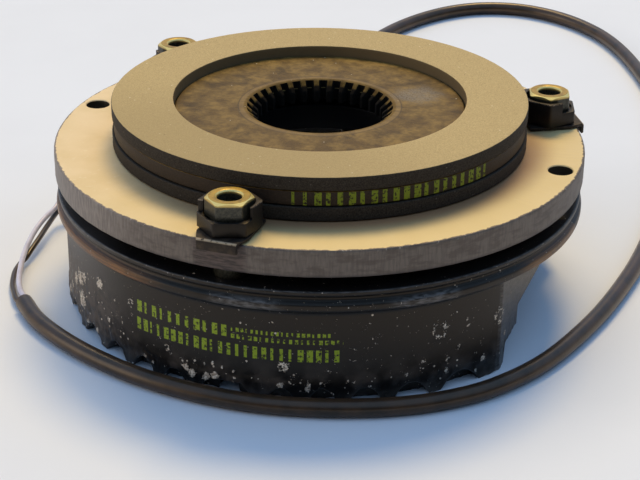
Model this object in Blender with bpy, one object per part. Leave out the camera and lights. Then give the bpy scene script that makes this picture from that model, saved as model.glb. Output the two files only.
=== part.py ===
"""A spring-applied electromagnetic brake, the fail-safe partner of an electromagnetic clutch.

It stands on the back of its magnet housing with the splined rotor on top. Lengths are millimetres
until mesh_object() turns them into metres. The origin is on the shaft axis, at the standing plane.
The flat side of the housing faces +X, and the three hollow screws are at 30, 150 and 270 degrees.
"""

import math

import bmesh
import bpy
from mathutils import Matrix, Vector

MM = 0.001
GAP = 0.3  # kept between pieces that touch
ROUND = 64  # sides of a large round piece

# Magnet housing
BODY_RADIUS = 71.2
RIM_RADIUS = 73.5
GROOVE_RADIUS = 72.1
LIP_RADIUS = 73.0
RIM_BOTTOM = 26.4
RIM_TOP = 29.4
GROOVE_BOTTOM = 30.2
GROOVE_TOP = 31.2
LIP_BOTTOM = 31.6
POLE_FACE = 32.9
OUTER_POLE_INNER_RADIUS = 58.0
INNER_POLE_RADIUS = 41.0
BORE_RADIUS = 22.0
COIL_FLOOR = 12.5
SKIRT_INNER_RADIUS = 60.0
SKIRT_DEPTH = 6.5
FLAT_DISTANCE = 62.5
FLAT_FOOT = 5.3  # height of the flat's lower edge near its -Y end
FLAT_FOOT_START = -30.0
OPENING_ANGLES = (-14.4, 44.5)  # where the skirt is cut away beside the flat
OPENING_HEIGHT = 10.5
FLAT_HALF_ANGLE = math.degrees(math.acos(FLAT_DISTANCE / BODY_RADIUS))
NOTCH_INNER_RADIUS = 68.0  # how far in the notches reach
NOTCH_HEIGHT = 4.1
NOTCH_WIDTH = 6.5
NOTCH_CORNER = 3.0
WIDE_NOTCH_WIDTH = 13.0
NOTCH_OFFSETS = (14.7, 24.8, 34.9, 45.0, 55.1)  # sideways from each screw's radius

# Hollow screws, their nuts and lock plates
SCREW_ANGLES = (30.0, 150.0, 270.0)
HEXAGON_TURNS = (-13.0, 24.0, 21.0)  # how far each screw's flats are turned from facing outwards
SCREW_CIRCLE = 66.0
SCREW_CLEARANCE = 0.7  # between a sleeve and the armature plate
SLEEVE_TOP = 53.9
SLEEVE_FLATS = 11.0
SLEEVE_HEAD_BOTTOM = 48.9
SLEEVE_SHANK_RADIUS = 4.2
SLEEVE_HOLE_RADIUS = 3.15
SLEEVE_BOTTOM = 28.7
NUT_TOP = 52.5
NUT_FLATS = 14.3
NUT_FRONT_TOP = 49.4  # the outward side is cut lower
NUT_STEP_START = 2.0  # outwards from the screw's axis
LOCK_PLATE_THICKNESS = 0.8
LOCK_PLATE_WIDTH = 13.8  # under the nut
LOCK_TAB_WIDTH = 10.4  # at its outer end
LOCK_PLATE_INWARD = 7.0  # how far it reaches inwards from the screw's axis
LOCK_TAB_START = 4.8  # where it starts to narrow, outwards from the screw's axis
LOCK_TAB_END = 9.2
LOCK_LIP_DEPTH = 3.0

# Armature plate
PLATE_RADIUS = 73.5
PLATE_BOTTOM = 36.9
PLATE_TOP = 44.4
PLATE_EDGE = 0.5
PLATE_BORE_RADIUS = 24.0
RELEASE_HOLE_CIRCLE = 68.4
RELEASE_HOLE_RADIUS = 3.4

# Rotor
ROTOR_TOP = 56.6
LINING_RADIUS = 57.4
LINING_INNER_RADIUS = 40.3
LINING_THICKNESS = 3.7
CARRIER_RADIUS = 56.9
CARRIER_BLANK_RADIUS = 14.0  # the hole before the spline is cut
WEB_TOP = 53.6
SPLINE_TEETH = 32
SPLINE_ROOT_RADIUS = 20.1
SPLINE_TIP_RADIUS = 17.4

# Coil
COIL_CHAMBER_GAP = 0.3
BOBBIN_TOP = 29.5
BOBBIN_WALL = 1.2
POTTING_TOP = 32.4

# Springs and torque adjuster
SPRING_COUNT = 6
SPRING_CIRCLE = 31.5
SPRING_BORE_RADIUS = 4.9
SPRING_COIL_RADIUS = 3.5
SPRING_WIRE = 1.6
SPRING_TURNS = 6.5
SPRING_POINTS_PER_TURN = 8
ADJUSTER_RECESS_RADIUS = 38.5
RECESS_CEILING = 13.5
BOSS_RADIUS = 46.0
BOSS_BOTTOM = 2.5
THRUST_RING_BOTTOM = 10.4
THRUST_RING_TOP = 12.3
THRUST_RING_RADIUS = 37.8
ADJUSTER_HOLE_RADIUS = 25.5
ADJUSTER_BOTTOM = 1.5
ADJUSTER_SLOTS = 4
ADJUSTER_SLOT_START = 31.5
ADJUSTER_SLOT_WIDTH = 6.0
ADJUSTER_SLOT_DEPTH = 3.0

# Cable
GLAND_ANGLE = 168.0
GLAND_HEIGHT = 13.0
GLAND_HOLE_RADIUS = 4.5
LEAD_DIAMETER = 1.6
LEAD_SPACING = 3.6  # between the points of a thin wire
SHEATH_DIAMETER = 4.9
SHEATH_SPACING = 10.5
FERRULE_DIAMETER = 1.9
FERRULE_LENGTH = 8.0


def material(name, colour, metallic, roughness):
    """A plain Principled material."""
    found = bpy.data.materials.get(name)
    if found:
        return found
    made = bpy.data.materials.new(name)
    made.use_nodes = True
    shader = made.node_tree.nodes["Principled BSDF"]
    shader.inputs["Base Color"].default_value = (*colour, 1.0)
    shader.inputs["Metallic"].default_value = metallic
    shader.inputs["Roughness"].default_value = roughness
    return made


MATERIALS = {
    "black_paint": ((0.02, 0.02, 0.02), 0.0, 0.45),
    "copper": ((0.55, 0.22, 0.08), 1.0, 0.35),
    "bobbin_plastic": ((0.6, 0.58, 0.5), 0.0, 0.5),
    "potting_resin": ((0.05, 0.03, 0.02), 0.0, 0.4),
    "spring_steel": ((0.35, 0.34, 0.33), 1.0, 0.35),
    "plain_steel": ((0.5, 0.48, 0.45), 1.0, 0.4),
    "chromated_steel": ((0.65, 0.5, 0.2), 1.0, 0.3),
    "blackened_steel": ((0.03, 0.03, 0.03), 1.0, 0.4),
    "nitrided_steel": ((0.7, 0.58, 0.4), 0.8, 0.4),
    "friction_lining": ((0.35, 0.28, 0.18), 0.0, 0.85),
    "carrier_metal": ((0.25, 0.2, 0.14), 0.8, 0.55),
    "black_rubber": ((0.02, 0.02, 0.02), 0.0, 0.6),
    "black_pvc": ((0.015, 0.015, 0.015), 0.0, 0.4),
    "white_pvc": ((0.8, 0.8, 0.78), 0.0, 0.4),
}


def clear_scene():
    """Removes what the startup scene holds."""
    for obj in list(bpy.data.objects):
        bpy.data.objects.remove(obj, do_unlink=True)


def finish_object(obj, finish):
    """Links an object and gives it its material."""
    bpy.context.scene.collection.objects.link(obj)
    obj.data.materials.append(material(finish, *MATERIALS[finish]))
    return obj


def mesh_object(name, bm, finish, origin=(0.0, 0.0, 0.0)):
    """Makes an object from a bmesh in millimetres, with its origin at the place given."""
    bmesh.ops.recalc_face_normals(bm, faces=bm.faces)
    bmesh.ops.translate(bm, verts=bm.verts, vec=-Vector(origin))
    bmesh.ops.scale(bm, verts=bm.verts, vec=(MM, MM, MM))
    mesh = bpy.data.meshes.new(name)
    bm.to_mesh(mesh)
    bm.free()
    mesh.shade_smooth()
    mesh.set_sharp_from_angle(angle=math.radians(35))
    obj = bpy.data.objects.new(name, mesh)
    obj.location = Vector(origin) * MM
    return finish_object(obj, finish)


def turned(bm, profile, sides=ROUND):
    """Turns a closed loop of (radius, height) points about the shaft axis."""
    rings = []
    for i in range(sides):
        turn = 2 * math.pi * i / sides
        rings.append([bm.verts.new((r * math.cos(turn), r * math.sin(turn), z)) for r, z in profile])
    for i, ring in enumerate(rings):
        after = rings[(i + 1) % sides]
        for j in range(len(profile)):
            k = (j + 1) % len(profile)
            bm.faces.new((ring[j], after[j], after[k], ring[k]))


def ring_profile(inner, outer, bottom, top):
    """The four corners of a plain ring's section."""
    return ((inner, bottom), (outer, bottom), (outer, top), (inner, top))


def extruded(bm, outline, bottom, top):
    """A straight solid on a closed outline of (x, y) points."""
    low = [bm.verts.new((x, y, bottom)) for x, y in outline]
    high = [bm.verts.new((x, y, top)) for x, y in outline]
    bm.faces.new(list(reversed(low)))
    bm.faces.new(high)
    for i in range(len(outline)):
        k = (i + 1) % len(outline)
        bm.faces.new((low[i], low[k], high[k], high[i]))


def circle(radius, sides, centre=(0.0, 0.0), turn=0.0):
    """Points of a regular polygon whose corners lie on the radius."""
    steps = (turn + 2 * math.pi * i / sides for i in range(sides))
    return [(centre[0] + radius * math.cos(a), centre[1] + radius * math.sin(a)) for a in steps]


def polar(radius, degrees, z=0.0):
    """A point from its radius, its angle and its height."""
    angle = math.radians(degrees)
    return Vector((radius * math.cos(angle), radius * math.sin(angle), z))


def cut(target, bm):
    """Takes a solid, in millimetres and world coordinates, out of an object."""
    cutter = mesh_object(f"cutter_{target.name}_{len(target.modifiers)}", bm, "plain_steel")
    cutter.hide_render = True
    cutter.display_type = "WIRE"
    boolean = target.modifiers.new(f"cut_{len(target.modifiers)}", "BOOLEAN")
    boolean.operation = "DIFFERENCE"
    boolean.object = cutter


def join(target, bm):
    """Adds a solid to an object with a Boolean union."""
    extra = mesh_object(f"joined_{target.name}", bm, "plain_steel")
    extra.hide_render = True
    extra.display_type = "WIRE"
    boolean = target.modifiers.new("join", "BOOLEAN")
    boolean.operation = "UNION"
    boolean.object = extra


def cut_cylinders(target, places, radius, bottom, top, sides=20):
    """Drills one set of upright holes."""
    bm = bmesh.new()
    for place in places:
        extruded(bm, circle(radius, sides, (place[0], place[1]), math.pi / sides), bottom, top)
    cut(target, bm)


def screw_places():
    """The three hollow screws' axes."""
    return [polar(SCREW_CIRCLE, degrees) for degrees in SCREW_ANGLES]


def spring_places():
    """The pressure springs' axes, all in the inner pole."""
    step = 360.0 / SPRING_COUNT
    return [polar(SPRING_CIRCLE, step * (i + 0.5)) for i in range(SPRING_COUNT)]


def notch_outline(width):
    """An arched opening seen along its axis, as (sideways, height) points."""
    half = width / 2
    points = [(-half - 0.9, -1.0)]
    for i in range(4):
        turn = math.pi / 2 * i / 3
        across = NOTCH_CORNER * (1 - math.cos(turn))
        points.append((-half + across, NOTCH_HEIGHT - NOTCH_CORNER * (1 - math.sin(turn))))
    return points + [(-x, z) for x, z in reversed(points)]


def notch(bm, degrees, width):
    """One arched notch in the skirt's lower edge, along a radius."""
    turn = Matrix.Rotation(math.radians(degrees), 3, "Z")
    ends = []
    for out in (NOTCH_INNER_RADIUS, BODY_RADIUS + 5):
        ends.append([bm.verts.new(turn @ Vector((out, x, z))) for x, z in notch_outline(width)])
    count = len(ends[0])
    bm.faces.new(ends[0])
    bm.faces.new(list(reversed(ends[1])))
    for i in range(count):
        k = (i + 1) % count
        bm.faces.new((ends[0][k], ends[0][i], ends[1][i], ends[1][k]))


def notch_is_whole(degrees):
    """Whether a notch at this angle is clear of the flat and of the opening beside it."""
    around = (degrees + 180) % 360 - 180
    return not -FLAT_HALF_ANGLE - 5 < around < OPENING_ANGLES[1]


def skirt_notches():
    """All the notches round the skirt: evenly spaced when seen along each screw's radius."""
    bm = bmesh.new()
    for screw_angle in SCREW_ANGLES:
        if notch_is_whole(screw_angle):
            notch(bm, screw_angle, WIDE_NOTCH_WIDTH)
        for offset in NOTCH_OFFSETS:
            aside = math.asin(offset / BODY_RADIUS)
            for sign in (-1, 1):
                degrees = screw_angle + sign * math.degrees(aside)
                if notch_is_whole(degrees):
                    notch(bm, degrees, NOTCH_WIDTH / math.cos(aside))
    return bm


def skirt_opening():
    """The part of the skirt that is cut away beside the flat."""
    first, last = OPENING_ANGLES
    steps = [first + (last - first) * i / 12 for i in range(13)]
    outline = [tuple(polar(BODY_RADIUS + 5, degrees).xy) for degrees in steps]
    outline += [tuple(polar(SKIRT_INNER_RADIUS - 0.6, degrees).xy) for degrees in reversed(steps)]
    bm = bmesh.new()
    extruded(bm, outline, -1.0, OPENING_HEIGHT)
    return bm


def box(bm, low, high, turn=0.0):
    """A block between two corners, turned about the vertical axis."""
    outline = [(low[0], low[1]), (high[0], low[1]), (high[0], high[1]), (low[0], high[1])]
    spin = Matrix.Rotation(turn, 2)
    extruded(bm, [tuple(spin @ Vector(p)) for p in outline], low[2], high[2])


def magnet_housing():
    """Pot magnet: outer pole with its rim, coil chamber, inner pole and notched skirt."""
    profile = (
        (SKIRT_INNER_RADIUS, 0.0),
        (BODY_RADIUS, 0.0),
        (BODY_RADIUS, RIM_BOTTOM),
        (RIM_RADIUS, RIM_BOTTOM + 1.4),
        (RIM_RADIUS, RIM_TOP),
        (GROOVE_RADIUS, GROOVE_BOTTOM),
        (GROOVE_RADIUS, GROOVE_TOP),
        (LIP_RADIUS, LIP_BOTTOM),
        (LIP_RADIUS, POLE_FACE),
        (OUTER_POLE_INNER_RADIUS, POLE_FACE),
        (OUTER_POLE_INNER_RADIUS, COIL_FLOOR),
        (INNER_POLE_RADIUS, COIL_FLOOR),
        (INNER_POLE_RADIUS, POLE_FACE),
        (BORE_RADIUS, POLE_FACE),
        (BORE_RADIUS, RECESS_CEILING),
        (ADJUSTER_RECESS_RADIUS, RECESS_CEILING),
        (ADJUSTER_RECESS_RADIUS, BOSS_BOTTOM),
        (BOSS_RADIUS, BOSS_BOTTOM),
        (BOSS_RADIUS, SKIRT_DEPTH),
        (SKIRT_INNER_RADIUS, SKIRT_DEPTH),
    )
    bm = bmesh.new()
    turned(bm, profile)
    housing = mesh_object("magnet_housing", bm, "black_paint")
    flat = bmesh.new()
    box(flat, (FLAT_DISTANCE, -45.0, -1.0), (80.0, 45.0, RIM_BOTTOM - 0.4))
    cut(housing, flat)
    foot = bmesh.new()
    box(foot, (50.0, FLAT_FOOT_START, -1.0), (66.0, -10.0, FLAT_FOOT))
    cut(housing, foot)
    cut(housing, skirt_opening())
    cut(housing, skirt_notches())
    cut_cylinders(housing, screw_places(), SLEEVE_SHANK_RADIUS + GAP, SLEEVE_BOTTOM - GAP, POLE_FACE + 1)
    cut_cylinders(housing, screw_places(), SLEEVE_HOLE_RADIUS + 0.15, SKIRT_DEPTH - 8, POLE_FACE - 2, 16)
    cut_cylinders(housing, spring_places(), SPRING_BORE_RADIUS, RECESS_CEILING - 2, POLE_FACE + 1)
    gland_hole = bmesh.new()
    hole_radius = GLAND_HOLE_RADIUS + GAP
    along_gland(gland_hole, ((hole_radius, INNER_POLE_RADIUS + 9), (hole_radius, BODY_RADIUS + 9)))
    cut(housing, gland_hole)


def along_gland(bm, places):
    """A solid turned about the gland's axis, through (radius, distance from the shaft axis) points."""
    spin = Matrix.Rotation(math.radians(GLAND_ANGLE), 4, "Z")
    lift = Matrix.Translation((0, 0, GLAND_HEIGHT))
    rings = []
    for radius, distance in places:
        ring = [spin @ lift @ Vector((distance, y, z)) for y, z in circle(radius, 16)]
        rings.append([bm.verts.new(point) for point in ring])
    bm.faces.new(rings[0])
    bm.faces.new(list(reversed(rings[-1])))
    for near, far in zip(rings, rings[1:]):
        for i in range(16):
            k = (i + 1) % 16
            bm.faces.new((near[i], near[k], far[k], far[i]))


def coil():
    """Bobbin, winding and the potting that closes the coil chamber."""
    inner = INNER_POLE_RADIUS + COIL_CHAMBER_GAP
    outer = OUTER_POLE_INNER_RADIUS - COIL_CHAMBER_GAP
    bottom = COIL_FLOOR + GAP
    wall = inner + BOBBIN_WALL
    bobbin = bmesh.new()
    turned(
        bobbin,
        (
            (inner, bottom),
            (outer, bottom),
            (outer, bottom + BOBBIN_WALL),
            (wall, bottom + BOBBIN_WALL),
            (wall, BOBBIN_TOP - BOBBIN_WALL),
            (outer, BOBBIN_TOP - BOBBIN_WALL),
            (outer, BOBBIN_TOP),
            (inner, BOBBIN_TOP),
        ),
        36,
    )
    mesh_object("coil_bobbin", bobbin, "bobbin_plastic")
    winding = bmesh.new()
    low, high = bottom + BOBBIN_WALL + GAP, BOBBIN_TOP - BOBBIN_WALL - GAP
    turned(winding, ring_profile(wall + GAP, outer - 2.5, low, high), 36)
    mesh_object("coil_winding", winding, "copper")
    potting = bmesh.new()
    turned(potting, ring_profile(inner, outer, BOBBIN_TOP + GAP, POTTING_TOP), ROUND)
    mesh_object("potting_ring", potting, "potting_resin")


def curve_object(name, points, diameter, finish, resolution):
    """A round wire along points in millimetres, with closed ends."""
    curve = bpy.data.curves.new(name, "CURVE")
    curve.dimensions = "3D"
    curve.bevel_depth = diameter / 2 * MM
    curve.bevel_resolution = resolution
    curve.use_fill_caps = True
    spline = curve.splines.new("POLY")
    spline.points.add(len(points) - 1)
    for point, place in zip(spline.points, points):
        point.co = (*(Vector(place) * MM), 1.0)
    return finish_object(bpy.data.objects.new(name, curve), finish)


def spring_points(place):
    """A helix with one close turn at each end."""
    bottom = THRUST_RING_TOP + GAP + SPRING_WIRE / 2
    top = PLATE_BOTTOM - GAP - SPRING_WIRE / 2
    end_rise = SPRING_WIRE + 0.4
    open_turns = SPRING_TURNS - 2
    rise = (top - bottom - 2 * end_rise) / open_turns
    points = []
    for i in range(int(SPRING_TURNS * SPRING_POINTS_PER_TURN) + 1):
        turns = i / SPRING_POINTS_PER_TURN
        height = bottom + end_rise * min(turns, 1) + rise * min(max(turns - 1, 0), open_turns)
        height += end_rise * max(turns - 1 - open_turns, 0)
        around = 2 * math.pi * turns
        side = Vector((math.cos(around), math.sin(around), 0)) * SPRING_COIL_RADIUS
        points.append(Vector((place.x, place.y, height)) + side)
    return points


def springs():
    """The pressure springs between the thrust ring and the armature plate."""
    for i, place in enumerate(spring_places()):
        curve_object(f"pressure_spring_{i + 1}", spring_points(place), SPRING_WIRE, "spring_steel", 1)


def torque_adjuster():
    """The threaded ring at the back, and the thrust ring that it presses on the springs."""
    thrust = bmesh.new()
    section = ring_profile(ADJUSTER_HOLE_RADIUS, THRUST_RING_RADIUS, THRUST_RING_BOTTOM, THRUST_RING_TOP)
    turned(thrust, section, 36)
    mesh_object("thrust_ring", thrust, "plain_steel")
    bm = bmesh.new()
    outer, top = ADJUSTER_RECESS_RADIUS - GAP, THRUST_RING_BOTTOM - GAP
    turned(bm, ring_profile(ADJUSTER_HOLE_RADIUS, outer, ADJUSTER_BOTTOM, top), 48)
    adjuster = mesh_object("torque_adjuster_ring", bm, "plain_steel")
    slots = bmesh.new()
    half = ADJUSTER_SLOT_WIDTH / 2
    for i in range(ADJUSTER_SLOTS):
        turn = math.pi / ADJUSTER_SLOTS + 2 * math.pi * i / ADJUSTER_SLOTS
        low = (ADJUSTER_SLOT_START, -half, ADJUSTER_BOTTOM - 1)
        high = (outer + 3, half, ADJUSTER_BOTTOM + ADJUSTER_SLOT_DEPTH)
        box(slots, low, high, turn)
    cut(adjuster, slots)


def armature_plate():
    """The plate that the springs press and the magnet pulls."""
    profile = (
        (PLATE_BORE_RADIUS, PLATE_BOTTOM),
        (PLATE_RADIUS - PLATE_EDGE, PLATE_BOTTOM),
        (PLATE_RADIUS, PLATE_BOTTOM + PLATE_EDGE),
        (PLATE_RADIUS, PLATE_TOP - PLATE_EDGE),
        (PLATE_RADIUS - PLATE_EDGE, PLATE_TOP),
        (PLATE_BORE_RADIUS, PLATE_TOP),
    )
    bm = bmesh.new()
    turned(bm, profile)
    plate = mesh_object("armature_plate", bm, "nitrided_steel")
    hole = SLEEVE_SHANK_RADIUS + SCREW_CLEARANCE
    cut_cylinders(plate, screw_places(), hole, PLATE_BOTTOM - 1, PLATE_TOP + 1)
    release = [polar(RELEASE_HOLE_CIRCLE, degrees) for degrees in (0.0, 180.0)]
    cut_cylinders(plate, release, RELEASE_HOLE_RADIUS, PLATE_BOTTOM - 1, PLATE_TOP + 1)


def spline_outline():
    """The rotor's internal teeth: four points to each tooth."""
    pitch = 2 * math.pi / SPLINE_TEETH
    points = []
    for i in range(SPLINE_TEETH):
        for part, radius in (
            (-0.32, SPLINE_ROOT_RADIUS - 0.5),
            (-0.17, SPLINE_TIP_RADIUS),
            (0.17, SPLINE_TIP_RADIUS),
            (0.32, SPLINE_ROOT_RADIUS - 0.5),
            (0.5, SPLINE_ROOT_RADIUS),
        ):
            angle = pitch * (i + part)
            points.append((radius * math.cos(angle), radius * math.sin(angle)))
    return points


def rotor():
    """Splined carrier with a friction lining bonded to each side."""
    bottom = PLATE_TOP + GAP
    lower_top = bottom + LINING_THICKNESS
    upper_bottom = ROTOR_TOP - LINING_THICKNESS
    web_bottom = bottom + (ROTOR_TOP - WEB_TOP)
    inner = LINING_INNER_RADIUS - GAP
    profile = (
        (CARRIER_BLANK_RADIUS, web_bottom),
        (inner, web_bottom),
        (inner, lower_top + GAP),
        (CARRIER_RADIUS, lower_top + GAP),
        (CARRIER_RADIUS, upper_bottom - GAP),
        (inner, upper_bottom - GAP),
        (inner, WEB_TOP),
        (CARRIER_BLANK_RADIUS, WEB_TOP),
    )
    bm = bmesh.new()
    turned(bm, profile)
    carrier = mesh_object("rotor_carrier", bm, "carrier_metal")
    teeth = bmesh.new()
    extruded(teeth, spline_outline(), web_bottom - 1, WEB_TOP + 1)
    cut(carrier, teeth)
    for name, low, high in (
        ("friction_lining_lower", bottom, lower_top),
        ("friction_lining_upper", upper_bottom, ROTOR_TOP),
    ):
        lining = bmesh.new()
        turned(lining, ring_profile(LINING_INNER_RADIUS, LINING_RADIUS, low, high))
        mesh_object(name, lining, "friction_lining")


def hexagon(flats, centre, degrees):
    """A hexagon with a flat facing the direction given."""
    corner_radius = flats / math.sqrt(3)
    return circle(corner_radius, 6, centre, math.radians(degrees + 30))


def hollow_sleeve(letter, facing, place):
    """A hexagon head on a long shank, with a hole right through."""
    centre = (place.x, place.y)
    head = bmesh.new()
    extruded(head, hexagon(SLEEVE_FLATS, centre, facing), SLEEVE_HEAD_BOTTOM, SLEEVE_TOP)
    sleeve = mesh_object(f"hollow_sleeve_{letter}", head, "chromated_steel", place)
    shank = bmesh.new()
    extruded(shank, circle(SLEEVE_SHANK_RADIUS, 20, centre, math.pi / 20), SLEEVE_BOTTOM, SLEEVE_HEAD_BOTTOM + 1)
    join(sleeve, shank)
    cut_cylinders(sleeve, [place], SLEEVE_HOLE_RADIUS, SLEEVE_BOTTOM - 1, SLEEVE_TOP + 1, 16)


def hexagon_nut(letter, degrees, facing, place):
    """A larger hexagon that the sleeve's head sits in, cut lower on its outward side."""
    bottom = PLATE_TOP + GAP + LOCK_PLATE_THICKNESS + GAP
    head_hole = SLEEVE_FLATS / math.sqrt(3) + GAP / 2
    body = bmesh.new()
    extruded(body, hexagon(NUT_FLATS, (place.x, place.y), facing), bottom, NUT_TOP)
    nut = mesh_object(f"hexagon_nut_{letter}", body, "blackened_steel", place)
    cut_cylinders(nut, [place], SLEEVE_SHANK_RADIUS + GAP, bottom - 1, NUT_TOP + 1)
    cut_cylinders(nut, [place], head_hole, SLEEVE_HEAD_BOTTOM - GAP, NUT_TOP + 1, 24)
    start = SCREW_CIRCLE + NUT_STEP_START
    step = bmesh.new()
    box(step, (start, -NUT_FLATS, NUT_FRONT_TOP), (start + 9, NUT_FLATS, NUT_TOP + 1), math.radians(degrees))
    cut(nut, step)


def lock_plate(letter, degrees, place):
    """A thin plate under the nut, narrower outwards, with a lip bent down past the armature plate's edge."""
    low, high = PLATE_TOP + GAP, PLATE_TOP + GAP + LOCK_PLATE_THICKNESS
    inner, start, end = (SCREW_CIRCLE + reach for reach in (-LOCK_PLATE_INWARD, LOCK_TAB_START, LOCK_TAB_END))
    wide, narrow = LOCK_PLATE_WIDTH / 2, LOCK_TAB_WIDTH / 2
    turn = Matrix.Rotation(math.radians(degrees), 2)
    flat = ((inner, -wide), (start, -wide), (end, -narrow), (end, narrow), (start, wide), (inner, wide))
    body = bmesh.new()
    extruded(body, [turn @ Vector(corner) for corner in flat], low, high)
    plate = mesh_object(f"lock_plate_{letter}", body, "blackened_steel", place)
    lip = bmesh.new()
    box(
        lip,
        (end - 0.1 - LOCK_PLATE_THICKNESS, 0.1 - narrow, high - LOCK_LIP_DEPTH),
        (end - 0.1, narrow - 0.1, high - LOCK_PLATE_THICKNESS / 2),
        math.radians(degrees),
    )
    join(plate, lip)
    cut_cylinders(plate, [place], SLEEVE_SHANK_RADIUS + GAP, low - 1, high + 1)


def hollow_screw(letter, degrees, turn):
    """One air-gap screw: hollow sleeve, black hexagon nut and lock plate."""
    place = polar(SCREW_CIRCLE, degrees)
    hollow_sleeve(letter, degrees + turn, place)
    hexagon_nut(letter, degrees, degrees + turn, place)
    lock_plate(letter, degrees, place)


def cable_gland():
    """The rubber bush that the coil's wires leave through."""
    bm = bmesh.new()
    inside = OUTER_POLE_INNER_RADIUS + 1.0
    collar = BODY_RADIUS + GAP
    places = (
        (GLAND_HOLE_RADIUS, inside),
        (GLAND_HOLE_RADIUS, collar),
        (GLAND_HOLE_RADIUS + 1.6, collar),
        (GLAND_HOLE_RADIUS + 1.2, collar + 1.6),
        (2.7, collar + 4.0),
        (2.7, collar + 4.2),
    )
    along_gland(bm, places)
    mesh_object("cable_gland", bm, "black_rubber")


def smooth_route(route, spacing):
    """Evenly spaced points on a Catmull-Rom curve through the route's points."""
    points = [Vector(p) for p in route]
    points = [2 * points[0] - points[1], *points, 2 * points[-1] - points[-2]]
    fine = []
    for before, start, end, after in zip(points, points[1:], points[2:], points[3:]):
        for i in range(24):
            t = i / 24
            fine.append(
                0.5
                * (
                    2 * start
                    + (end - before) * t
                    + (2 * before - 5 * start + 4 * end - after) * t**2
                    + (3 * start - before - 3 * end + after) * t**3
                )
            )
    fine.append(points[-2])
    length = sum((b - a).length for a, b in zip(fine, fine[1:]))
    count = max(2, round(length / spacing))
    wanted = [length * i / count for i in range(count + 1)]
    result, gone, k = [], 0.0, 0
    for a, b in zip(fine, fine[1:]):
        step = (b - a).length
        while k <= count and wanted[k] <= gone + step + 1e-6:
            result.append(a.lerp(b, min(1.0, (wanted[k] - gone) / max(step, 1e-9))))
            k += 1
        gone += step
    return result


# Routes' points, from the brake outwards.
LEAD_WHITE_ROUTE = (
    (-74.7, 15.9, 14.0),
    (-78.8, 16.6, 13.6),
    (-84.0, 13.4, 10.6),
    (-86.6, 8.8, 7.9),
    (-86.9, 4.2, 6.4),
    (-86.7, -2.3, 6.2),
    (-86.3, -9.3, 5.4),
    (-84.6, -17.3, 4.7),
    (-82.3, -24.8, 4.2),
    (-79.4, -32.1, 3.8),
    (-76.5, -38.2, 3.5),
    (-73.4, -43.1, 3.4),
    (-69.9, -46.8, 3.3),
)
LEAD_BLACK_ROUTE = (
    (-74.7, 15.9, 12.0),
    (-78.8, 16.6, 11.5),
    (-84.0, 13.4, 8.5),
    (-86.6, 8.8, 5.9),
    (-86.9, 4.4, 4.4),
    (-85.7, -3.0, 4.1),
    (-84.3, -10.9, 3.7),
    (-83.4, -17.9, 3.0),
    (-83.1, -22.0, 2.2),
    (-83.3, -25.2, 1.7),
    (-82.3, -30.4, 1.4),
    (-79.3, -37.2, 1.4),
    (-76.6, -41.4, 1.6),
    (-73.8, -45.3, 1.9),
    (-70.9, -47.9, 2.1),
)
SHEATH_ROUTE = (
    (-69.9, -47.6, 2.5),
    (-61.6, -55.6, 2.5),
    (-49.8, -63.2, 2.5),
    (-35.9, -69.6, 2.5),
    (-20.7, -74.2, 2.5),
    (-3.9, -76.3, 2.5),
    (11.8, -75.6, 2.5),
    (27.4, -71.9, 2.5),
    (42.7, -65.6, 2.5),
    (54.6, -57.6, 2.5),
    (64.9, -46.6, 2.5),
    (73.9, -29.6, 2.5),
    (80.4, -6.2, 2.5),
    (84.2, 18.1, 2.5),
    (86.0, 44.0, 2.5),
    (85.4, 76.0, 2.5),
    (82.0, 110.0, 2.5),
    (76.0, 143.0, 2.5),
    (67.6, 173.0, 2.5),
    (57.4, 198.0, 2.5),
    (45.3, 221.0, 2.5),
    (33.0, 237.5, 2.5),
    (18.0, 249.6, 2.5),
    (2.5, 255.4, 2.5),
    (-11.5, 254.8, 2.5),
    (-24.0, 248.4, 2.5),
    (-34.4, 236.0, 2.5),
    (-42.6, 218.0, 2.5),
    (-47.5, 197.0, 2.5),
    (-50.0, 174.0, 2.5),
)


def cable():
    """Two coil leads, the black sheath that they run into, and the stripped cores at its end."""
    curve_object("lead_white", smooth_route(LEAD_WHITE_ROUTE, LEAD_SPACING), LEAD_DIAMETER, "white_pvc", 2)
    curve_object("lead_black", smooth_route(LEAD_BLACK_ROUTE, LEAD_SPACING), LEAD_DIAMETER, "black_pvc", 2)
    sheath = smooth_route(SHEATH_ROUTE, SHEATH_SPACING)
    curve_object("cable_sheath", sheath, SHEATH_DIAMETER, "black_pvc", 2)
    end = sheath[-1]
    forward = (sheath[-1] - sheath[-2]).normalized()
    side = Vector((-forward.y, forward.x, 0))
    for name, finish, sign in (("end_core_white", "white_pvc", 1), ("end_core_black", "black_pvc", -1)):
        route = [
            end + forward * GAP + side * sign * 1.1,
            end + forward * 9 + side * sign * 2.2 - Vector((0, 0, 0.6)),
            end + forward * 19 + side * sign * 5.0 - Vector((0, 0, 1.4)),
            end + forward * 30 + side * sign * 6.5 - Vector((0, 0, 1.4)),
        ]
        core = smooth_route(route, LEAD_SPACING)
        curve_object(name, core, LEAD_DIAMETER, finish, 2)
        tip = core[-1]
        away = (core[-1] - core[-2]).normalized()
        crimp = [tip + away * GAP, tip + away * (GAP + FERRULE_LENGTH)]
        curve_object(f"{name}_ferrule", crimp, FERRULE_DIAMETER, "plain_steel", 2)


def build():
    """Makes every sub-part."""
    clear_scene()
    magnet_housing()
    coil()
    springs()
    torque_adjuster()
    armature_plate()
    rotor()
    for letter, degrees, turn in zip("abc", SCREW_ANGLES, HEXAGON_TURNS):
        hollow_screw(letter, degrees, turn)
    cable_gland()
    cable()


build()
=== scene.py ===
"""The looks of a spring-applied electromagnetic brake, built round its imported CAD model.

Lengths in this script are millimetres, and become metres where a mesh or a curve is made. The frame
is the CAD's: the shaft axis is Z, the brake stands on Z = 0, and the rotor is on top.
"""

import math

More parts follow.
